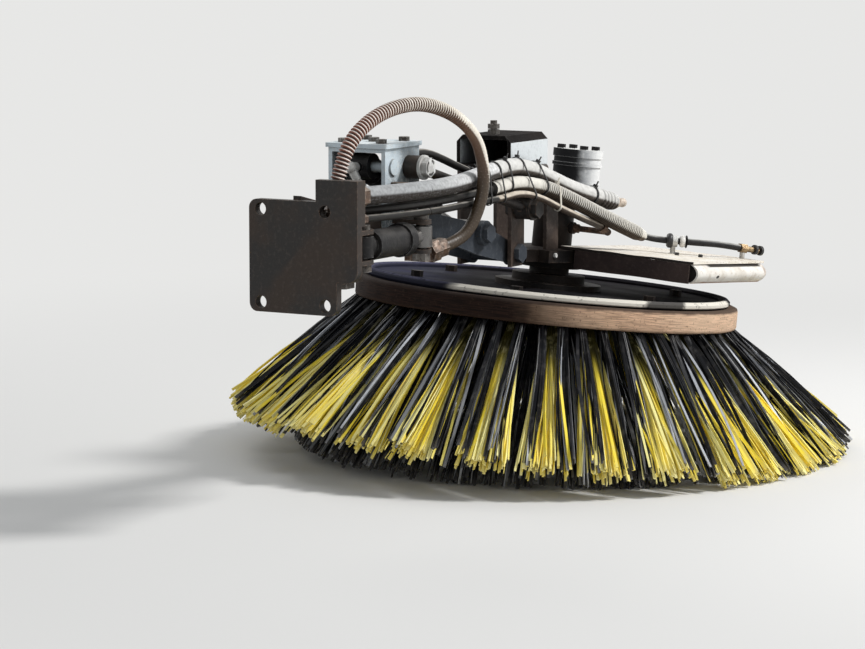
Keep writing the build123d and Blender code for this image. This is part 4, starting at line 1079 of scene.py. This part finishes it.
def guard_skirt():
    """Rolled skirt: its section bulges by a sine over its depth, carried along the kerb edge, round the corner by a
    quarter circle, and back along the front."""
    corner = 0.024
    straight = np.linspace(GUARD_REAR + 0.004, GUARD_FRONT - corner, 60)
    turn = np.linspace(0, math.pi / 2, 16)[1:]
    back = np.linspace(GUARD_OUTER + corner, -0.062, 40)[1:]
    px = np.concatenate([straight, GUARD_FRONT - corner + corner * np.sin(turn), np.full(len(back), GUARD_FRONT)])
    py = np.concatenate([np.full(len(straight), GUARD_OUTER), GUARD_OUTER + corner - corner * np.cos(turn), back])
    nx = np.concatenate([np.zeros(len(straight)), np.sin(turn), np.ones(len(back))])
    ny = np.concatenate([-np.ones(len(straight)), -np.cos(turn), np.zeros(len(back))])
    share = np.linspace(0, 1, 14)
    bulge = 0.0110 * np.sin(math.pi * np.clip(share * 1.02, 0, 1)) ** 0.7 - 0.0035
    height = GUARD_TOP - (0.0046 + (GUARD_DEPTH - 0.0046) * share) + 0 * px[:, None]
    outer = np.stack([px[:, None] + nx[:, None] * bulge, py[:, None] + ny[:, None] * bulge, height], -1)
    return slab("guard_skirt", outer, -np.stack([nx, ny, 0 * nx], -1)[:, None] * 0.003)


def sandy_top():
    """Pale paint under sand, with brown grit that is thickest to the front, and a dark rear rim."""
    skin = Skin("sandy_guard_top", Roughness=0.85, Specular_IOR_Level=0.3)
    ahead = skin.facing((1.0, 0.0, 0.0), skin.own_frame())
    skin.colour = skin.mix(skin.patches(24.0, 6.0, 0.40, 0.62), (0.74, 0.68, 0.58), (0.80, 0.76, 0.69))
    grit = skin.math("MAXIMUM", skin.patches(360.0, 4.0, 0.54, 0.66), skin.patches(110.0, 5.0, 0.56, 0.66))
    skin.cover(skin.times(grit, skin.ramp(ahead, 0.02, 0.20, 0.25, 0.85)), (0.26, 0.15, 0.085))
    skin.cover(skin.ramp(ahead, GUARD_REAR + 0.0030, GUARD_REAR + 0.0018), (0.022, 0.017, 0.015))
    # Dirt and painted shade in corners
    skin.cover(skin.ramp(skin.corners(0.020), 0.35, 0.85), (0.10, 0.07, 0.05), 0.5)
    skin.bump(skin.noise(260.0, 4.0), 0.0012)
    return skin.finish()


def rusty_skirt():
    """Pale skirt with rust along its lower edge, at its front corner and in one spot, a painted shadow line under the
    top's edge and a round hole.
    """
    skin = Skin("pale_guard_skirt", Roughness=0.75)
    local = skin.own_frame()
    x, y, z = skin.parts(local)
    cloud = skin.noise(30.0, 6.0)
    skin.colour = skin.mix(skin.ramp(cloud, 0.4, 0.65), (0.76, 0.73, 0.68), (0.62, 0.57, 0.50))
    low = skin.ramp(skin.plus(z, skin.times(cloud, 0.008)), 0.0405, 0.0375)
    corner = skin.times(skin.ramp(x, 0.195, 0.225), skin.ramp(cloud, 0.42, 0.55), 0.75)
    skin.cover(skin.math("MAXIMUM", low, corner), (0.27, 0.12, 0.05), 0.85)
    skin.cover(skin.patches(240.0, 3.0, 0.6, 0.72), (0.36, 0.22, 0.13), 0.5)
    spot = skin.vector("DISTANCE", local, (0.206, GUARD_OUTER, 0.0500))
    skin.cover(skin.ramp(spot, 0.0085, 0.0040), (0.16, 0.065, 0.030))
    kerb = skin.ramp(y, GUARD_OUTER + 0.012, GUARD_OUTER + 0.008)
    run = skin.times(skin.ramp(x, 0.006, 0.022), skin.ramp(x, 0.204, 0.196))
    # Painted shadow: a thin dark line under the top's edge
    overhang_shadow = skin.times(skin.ramp(z, 0.0572, 0.0580), skin.times(run, kerb))
    away = skin.vector("DISTANCE", skin.vector("MULTIPLY", local, (0.5, 0, 1)), (0.019, 0.0, 0.0434))
    hole = skin.times(skin.ramp(away, 0.0026, 0.0021), kerb)
    skin.cover(skin.math("MAXIMUM", overhang_shadow, hole), (0.020, 0.014, 0.010))
    skin.bump(skin.noise(200.0, 3.0), 0.0004)
    return skin.finish()


class SIDEBRUSH_OT_guard(bpy.types.Operator):
    """Sheet-metal guard over the kerb side: top, rear flange and rolled skirt"""

    bl_idname = "side_brush.guard"
    bl_label = "Guard"

    def execute(self, context):
        # Rear flange: the guard's paint darkened, as painted shade on this face
        brown = worn("brown_guard_flange", (0.036, 0.025, 0.024), (0.056, 0.039, 0.035), (0.12, 0.09, 0.08),
                     (0.30, 0.24, 0.20), 0.62, 0.0, 0.4, 0.5, 0.5, 11.0, 0.2, 0.0, 0.15)
        # Dark plate paint: painted shade inside the roll
        roll_shade = worn("sooty_roll_inside", (0.008, 0.007, 0.007), (0.014, 0.012, 0.011), (0.02, 0.018, 0.017),
                    (0.02, 0.018, 0.017), 0.8)
        for piece, material in ((guard_top(), sandy_top()), (guard_flange(), brown), (guard_skirt(), rusty_skirt()),
                                (guard_roll_end(), roll_shade)):
            piece.data.materials.append(material)
            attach(piece, "head")
            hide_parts("guard_tray")
        return {"FINISHED"}


# Finishes of the CAD nodes

# Worn metals: name, paint or which of the user's colours, patches, dust, bare metal, then worn()'s numbers in order
# (roughness, metallic, settled dust, dirt and painted shade in corners, wear, size of the patches, specks, painted
# shade in deep recesses, shine, paint of faces to the kerb as painted light), and the nodes
METALS = (
    # Knuckle: pale paint, with painted shade in its deep recesses
    ("dusty_blue_grey_paint", "paint", (0.38, 0.45, 0.49), (0.70, 0.71, 0.69), (0.78, 0.78, 0.76),
     (0.6, 0.0, 0.6, 0.9, 0.5, 16.0, 0.5, 0.95), "knuckle knuckle_top_plate lift_barrel_pin"),
    # Head box: dark paint as painted shade, pale paint on faces to the kerb as painted light, painted shade in recesses
    ("two_tone_box_paint", (0.011, 0.010, 0.010), (0.018, 0.015, 0.014), (0.050, 0.045, 0.042), (0.26, 0.25, 0.23),
     (0.6, 0.0, 0.3, 0.8, 0.4, 13.0, 0.12, 0.9, 0.01, (0.64, 0.67, 0.68)), "head_box"),
    ("dark_frame_paint", "frame_paint", (0.038, 0.027, 0.021), (0.15, 0.125, 0.105), (0.24, 0.15, 0.10),
     (0.5, 0.0, 0.4, 0.8, 0.7, 9.0, 0.12, 0.0, 0.3),
     "mount_bracket swing_beam swing_rod_lugs upper_link upper_front_pivot"),
    ("brown_black_cheek", (0.040, 0.028, 0.023), (0.070, 0.048, 0.037), (0.22, 0.17, 0.14), (0.26, 0.20, 0.16),
     (0.55, 0.0, 0.4, 0.8, 0.5, 15.0, 0.15, 0.0, 0.3), "head_cheeks"),
    # Lower link: slate paint, darkened as painted shade for the shade it lies in
    ("slate_link_paint", (0.032, 0.038, 0.048), (0.050, 0.057, 0.068), (0.20, 0.205, 0.21), (0.28, 0.30, 0.32),
     (0.5, 0.0, 0.35, 0.8, 0.4, 13.0, 0.12, 0.0, 0.12), "lower_link lower_link_boss_pin lower_front_pivot"),
    ("dull_rod_steel", (0.16, 0.155, 0.15), (0.10, 0.09, 0.085), (0.25, 0.22, 0.19), (0.55, 0.55, 0.54),
     (0.35, 0.8, 0.3, 0.8, 0.4, 40.0, 0.15), "swing_rod"),
    ("bright_steel", (0.62, 0.62, 0.61), (0.45, 0.44, 0.42), (0.55, 0.51, 0.46), (0.8, 0.8, 0.8),
     (0.32, 0.85, 0.25, 0.8, 0.4, 40.0, 0.15), "lift_rod"),
    ("dull_bolt_steel", (0.115, 0.105, 0.095), (0.055, 0.045, 0.038), (0.30, 0.26, 0.22), (0.62, 0.60, 0.57),
     (0.42, 0.5, 0.4, 0.8, 0.7, 60.0, 0.25),
     "swing_pin swing_cylinder_rear_pin knuckle_top_bolts swing_rod_pin lower_rear_pivot tilt_bolt"),
    ("rusty_nut", (0.12, 0.07, 0.045), (0.06, 0.04, 0.03), (0.40, 0.33, 0.27), (0.48, 0.42, 0.36),
     (0.55, 0.4, 0.6, 0.7, 0.6, 70.0), "root_fittings arm_fittings"),
    ("black_cylinder_paint", (0.012, 0.012, 0.013), (0.020, 0.019, 0.019), (0.15, 0.14, 0.13), (0.28, 0.28, 0.28),
     (0.38, 0.0, 0.35, 0.7, 0.5, 13.0, 0.10, 0.0, 0.15), "swing_barrel lift_barrel"),
    ("black_bearing_paint", (0.011, 0.010, 0.010), (0.024, 0.018, 0.015), (0.085, 0.070, 0.060), (0.17, 0.12, 0.09),
     (0.55, 0.0, 0.35, 0.8, 0.6, 16.0, 0.10, 0.0, 0.12), "base_plate bearing_housing brush_hub disc_bolts"),
    ("aged_brass", (0.40, 0.29, 0.16), (0.15, 0.09, 0.05), (0.45, 0.35, 0.22), (0.78, 0.60, 0.34),
     (0.4, 0.8, 0.3, 0.8, 0.6, 90.0), "spray_nozzle"),
    ("whitish_zinc", (0.66, 0.66, 0.64), (0.48, 0.46, 0.43), (0.74, 0.72, 0.68), (0.8, 0.8, 0.8),
     (0.45, 0.3, 0.5, 0.8, 0.4, 60.0, 0.25), "lift_port_elbow spray_brackets"),
)


def disc_with_painted_light():
    """Steel disc in painted shade, with a painted violet reflection of the sky towards the left, a violet reflection
    and shade painted on its raised lip, and a cream band of painted sunlight on the near side of its rim but for one
    painted shadow.
    """
    skin = Skin("heat_stained_disc", Specular_IOR_Level=0.01)
    local = skin.own_frame()
    radius = skin.vector("LENGTH", skin.vector("MULTIPLY", local, (1, 1, 0)))
    level = skin.parts(local)[2]
    cloud = skin.noise(9.0, 6.0)
    grain = skin.noise(120.0, 4.0)
    # Painted violet reflection of the sky towards the left, painted shade towards the right
    across = skin.plus(skin.facing((0.50, -0.87, 0.0), local), skin.times(cloud, 0.10))
    slate = skin.mix(skin.ramp(cloud, 0.42, 0.66), (0.028, 0.029, 0.043), (0.040, 0.041, 0.070))
    skin.colour = skin.mix(skin.ramp(across, -0.16, -0.04), slate, (0.013, 0.012, 0.0135))
    skin.cover(skin.patches(34.0, 6.0, 0.52, 0.72), (0.048, 0.045, 0.050), 0.3)

    # The raised lip: a painted violet reflection on the left and painted shade on the right
    lip = skin.times(skin.ramp(radius, DISC_RADIUS - 0.015, DISC_RADIUS - 0.011), skin.ramp(level, 0.0040, 0.0058))
    violet = skin.mix(skin.ramp(across, -0.05, 0.16), (0.100, 0.098, 0.150), (0.022, 0.021, 0.026))
    skin.cover(skin.times(lip, skin.ramp(grain, 0.34, 0.50, 0.25, 0.75)), violet)

    # The rim's side: a cream band of painted sunlight towards the viewer, but for one painted shadow
    broad = skin.plus(skin.facing((-0.62, -0.78, 0.0), local), skin.times(cloud, 0.05))
    side = skin.times(skin.ramp(radius, DISC_RADIUS - 0.016, DISC_RADIUS - 0.014), skin.ramp(level, -0.0030, -0.0016))
    cream = skin.times(skin.ramp(broad, 0.172, 0.196), side)
    cream = skin.times(cream, skin.ramp(grain, 0.30, 0.42, 0.35, 0.95))
    shadow_gap = skin.times(skin.ramp(across, 0.178, 0.190), skin.ramp(across, 0.242, 0.230), 0.9)
    skin.cover(skin.times(cream, skin.math("SUBTRACT", 1.0, shadow_gap)), (0.72, 0.68, 0.60))
    skin.bump(grain, 0.0004)
    return skin.finish(skin.ramp(cloud, 0.3, 0.7, 0.55, 0.75))


def rusty_elbows():
    """Rusty nuts and elbows, paler with dust on the pressure hose's own elbow at the front."""
    skin = Skin("rusty_elbow", Metallic=0.2, Roughness=0.6, Specular_IOR_Level=0.3)
    patch = skin.patches(70.0, 6.0, 0.42, 0.60)
    grain = skin.noise(260.0, 4.0)
    skin.colour = skin.mix(patch, (0.115, 0.068, 0.045), (0.055, 0.036, 0.027))
    ahead = skin.ramp(skin.axis("Object", 0), 0.738, 0.748)
    above = skin.ramp(skin.axis("Object", 2), -0.002, 0.006)
    skin.cover(skin.times(ahead, above), skin.mix(patch, (0.58, 0.50, 0.42), (0.40, 0.32, 0.25)))
    skin.cover(skin.ramp(grain, 0.52, 0.66), (0.34, 0.25, 0.18), 0.35)
    # Grease and painted shade in corners
    skin.cover(skin.ramp(skin.corners(0.012), 0.3, 0.8), GREASE_AND_SHADE, 0.8)
    skin.bump(grain, 0.0004)
    return skin.finish()


def greasy_cap():
    """White washer and bolt head, with a dark broken ring round the pin's middle."""
    skin = Skin("greasy_white_cap", Roughness=0.5, Specular_IOR_Level=0.3)
    reach = skin.vector("DISTANCE", skin.vector("MULTIPLY", skin.place(), (1, 0, 1)), (0.225, 0.0, 0.106))
    cloud = skin.noise(90.0, 4.0)
    ring = skin.times(skin.ramp(reach, 0.0072, 0.0082), skin.ramp(reach, 0.0118, 0.0106), skin.ramp(cloud, 0.47, 0.53))
    skin.colour = skin.mix(skin.ramp(cloud, 0.40, 0.60), (0.66, 0.66, 0.64), (0.46, 0.45, 0.43))
    skin.cover(ring, (0.020, 0.018, 0.017), 0.95)
    skin.cover(skin.ramp(skin.axis("Object", 1), -0.068, -0.060), (0.018, 0.016, 0.015))
    # Grease and painted shade in corners
    skin.cover(skin.ramp(skin.corners(0.012), 0.3, 0.8), GREASE_AND_SHADE, 0.8)
    skin.bump(skin.noise(200.0, 3.0), 0.0004)
    return skin.finish()


def motor_casting():
    """Dusty grey casting with painted shade in its corners, as at its neck, and on the side away from the kerb, and
    painted light on the side towards it, whose bolt heads above the lid are black.
    """
    skin = Skin("grey_motor_casting", Roughness=0.6, Specular_IOR_Level=0.06)
    lid = 0.2102
    level = skin.parts(skin.own_frame())[2]
    grain = skin.noise(170.0, 4.0)
    skin.colour = skin.mix(skin.patches(24.0, 6.0, 0.40, 0.62), (0.40, 0.41, 0.42), (0.52, 0.53, 0.53))
    skin.cover(skin.ramp(grain, 0.48, 0.66), (0.66, 0.66, 0.64), 0.5)
    # Painted shade in corners, as at the neck
    skin.cover(skin.ramp(skin.corners(0.012), 0.22, 0.7), (0.05, 0.05, 0.052), 0.85)
    # Painted shade on the side away from the kerb, painted light on the side towards it
    towards = skin.plus(skin.facing((0.55, -0.80, 0.0)), skin.times(skin.noise(40.0, 4.0), 0.5))
    skin.cover(skin.ramp(towards, 0.50, 0.06, 0.0, 0.98), (0.016, 0.016, 0.017))
    skin.cover(skin.ramp(towards, 0.50, 1.0, 0.0, 0.85), (0.80, 0.80, 0.79))
    skin.cover(skin.edges(0.0014), (0.66, 0.66, 0.65), 0.5)
    skin.cover(skin.ramp(skin.axis("Normal", 2), 0.55, 0.95, 0.0, 0.85), (0.76, 0.75, 0.72))
    skin.cover(skin.ramp(level, lid, lid + 0.001), (0.020, 0.019, 0.019))
    skin.bump(grain, 0.0005)
    return skin.finish()


class SIDEBRUSH_OT_finishes(bpy.types.Operator):
    """Paint, steel, rust and dust on the frame's own pieces"""

    bl_idname = "side_brush.finishes"
    bl_label = "Metal finishes"

    def execute(self, context):
        looks = {"brush_disc": disc_with_painted_light(), "head_fittings": rusty_elbows(), "upper_rear_pivot": greasy_cap(),
                 "brush_motor": motor_casting()}
        for name, paint, patch, dust, bare, numbers, nodes in METALS:
            material = worn(name, colours().get(paint, paint), patch, dust, bare, *numbers)
            looks.update(dict.fromkeys(nodes.split(), material))
        for name, material in looks.items():
            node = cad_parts[name]
            if not node.material_slots:
                node.data.materials.append(material)
            for place in node.material_slots:
                place.material = material
        return {"FINISHED"}


# Stage

BACKDROP = (0.80, 0.80, 0.79)
FOCUS = Vector((0.5, -0.05, -0.08))
LAMP_DISTANCE = 3.6

# Lamps: name, direction from the focus, size, power
LAMPS = (
    ("key_lamp", (0.45, -0.88, 0.98), 0.6, 117.0),
    ("side_lamp", (-1.0, -0.35, 0.45), 2.2, 6.0),
    ("back_lamp", (0.5, 1.0, 0.8), 1.6, 26.0),
)

# Camera: place, direction of view, width of its sensor and focal length in millimetres
CAMERA_PLACE = (-3.596, -2.289, 0.454)
CAMERA_WAY = (0.85907, 0.49598, -0.12655)
SENSOR_WIDTH = 36.0
FOCAL_LENGTH = 135.26


def seen_by_eye(tree):
    """1 for rays that the camera sees directly or through a mirror-like or clear surface, else 0."""
    path = tree.nodes.new("ShaderNodeLightPath")
    share = path.outputs["Is Camera Ray"]
    for key in ("Is Glossy Ray", "Is Transmission Ray"):
        larger = tree.nodes.new("ShaderNodeMath")
        larger.operation = "MAXIMUM"
        tree.links.new(share, larger.inputs[0])
        tree.links.new(path.outputs[key], larger.inputs[1])
        share = larger.outputs[0]
    return share


def pale_floor():
    """Matt floor that fades to the plain backdrop away from the unit."""
    skin = Skin("pale_floor", Roughness=0.9)
    skin.colour = (0.74, 0.73, 0.71)
    skin.finish()
    away = skin.vector("DISTANCE", skin.place(), (0.6, 0.0, GROUND))
    share = skin.times(skin.ramp(away, 0.7, 2.6), seen_by_eye(skin.tree))
    wall = skin.add("Emission", Color=BACKDROP)
    mixed = skin.add("MixShader")
    for socket, value in zip(mixed.inputs, (share, skin.shader.outputs[0], wall.outputs[0])):
        skin.feed(socket, value)
    skin.feed(skin.tree.nodes["Material Output"].inputs["Surface"], mixed.outputs[0])
    return skin.material


def studio():
    """World whose light is soft and faintly blue, and that the camera sees as the backdrop."""
    world = bpy.data.worlds.new("studio")
    world.use_nodes = True
    tree = world.node_tree
    light = tree.nodes["Background"]
    light.inputs["Color"].default_value = (0.92, 0.96, 1.0, 1.0)
    light.inputs["Strength"].default_value = 0.42
    wall = tree.nodes.new("ShaderNodeBackground")
    wall.inputs["Color"].default_value = (*BACKDROP, 1.0)
    mixed = tree.nodes.new("ShaderNodeMixShader")
    for socket, value in zip(mixed.inputs, (seen_by_eye(tree), light.outputs[0], wall.outputs[0])):
        tree.links.new(value, socket)
    tree.links.new(mixed.outputs[0], tree.nodes["World Output"].inputs["Surface"])
    return world


class SIDEBRUSH_OT_stage(bpy.types.Operator):
    """Pale floor, soft studio lamps and the camera"""

    bl_idname = "side_brush.stage"
    bl_label = "Stage"

    def execute(self, context):
        scene = context.scene
        reach = 60.0
        corners = np.array([[x * reach, y * reach, GROUND] for x, y in ((-1, -1), (1, -1), (1, 1), (-1, 1))])
        floor = mesh_object("floor", corners, [np.array([[0, 1, 2, 3]])], smooth=False)
        floor.data.materials.append(pale_floor())
        scene.world = studio()
        for name, way, size, power in LAMPS:
            lamp = bpy.data.lights.new(name, "AREA")
            lamp.size = size
            lamp.energy = power
            holder = bpy.data.objects.new(name, lamp)
            holder.location = FOCUS + Vector(way).normalized() * LAMP_DISTANCE
            holder.rotation_euler = (FOCUS - holder.location).to_track_quat("-Z", "Y").to_euler()
            scene.collection.objects.link(holder)
        lens = bpy.data.cameras.new("camera")
        lens.sensor_width = SENSOR_WIDTH
        lens.lens = FOCAL_LENGTH
        lens.clip_start = 0.05
        lens.clip_end = reach
        camera = bpy.data.objects.new("camera", lens)
        camera.location = CAMERA_PLACE
        camera.rotation_euler = Vector(CAMERA_WAY).to_track_quat("-Z", "Y").to_euler()
        scene.collection.objects.link(camera)
        scene.camera = camera
        scene.view_settings.view_transform = "Standard"
        return {"FINISHED"}


OPERATORS = (
    SIDEBRUSH_OT_stage,
    SIDEBRUSH_OT_finishes,
    SIDEBRUSH_OT_bristles,
    SIDEBRUSH_OT_board,
    SIDEBRUSH_OT_guard,
    SIDEBRUSH_OT_hoses,
    SIDEBRUSH_OT_conduit,
    SIDEBRUSH_OT_spray_line,
    SIDEBRUSH_OT_cable_ties,
    SIDEBRUSH_OT_fasteners,
)


class SIDEBRUSH_PT_panel(bpy.types.Panel):
    """Sizes, colours and steps of the side brush"""

    bl_idname = "SIDEBRUSH_PT_panel"
    bl_label = "Side Brush"
    bl_space_type = "VIEW_3D"
    bl_region_type = "UI"
    bl_category = "Side Brush"

    def draw(self, context):
        for group in (context.scene.side_brush_sizes, context.scene.side_brush_colours):
            column = self.layout.column(align=True)
            for key in type(group).__annotations__:
                column.prop(group, key)
        column = self.layout.column()
        for step in OPERATORS:
            column.operator(step.bl_idname)


CLASSES = (SideBrushSizes, SideBrushColours, *OPERATORS, SIDEBRUSH_PT_panel)


def register():
    for each in CLASSES:
        bpy.utils.register_class(each)
    bpy.types.Scene.side_brush_sizes = PointerProperty(type=SideBrushSizes)
    bpy.types.Scene.side_brush_colours = PointerProperty(type=SideBrushColours)


def unregister():
    del bpy.types.Scene.side_brush_sizes
    del bpy.types.Scene.side_brush_colours
    for each in reversed(CLASSES):
        bpy.utils.unregister_class(each)


def main():
    """Registers the add-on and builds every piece."""
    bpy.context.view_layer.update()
    register()
    for step in OPERATORS:
        group, name = step.bl_idname.split(".")
        getattr(getattr(bpy.ops, group), name)()


if __name__ == "__main__":
    main()
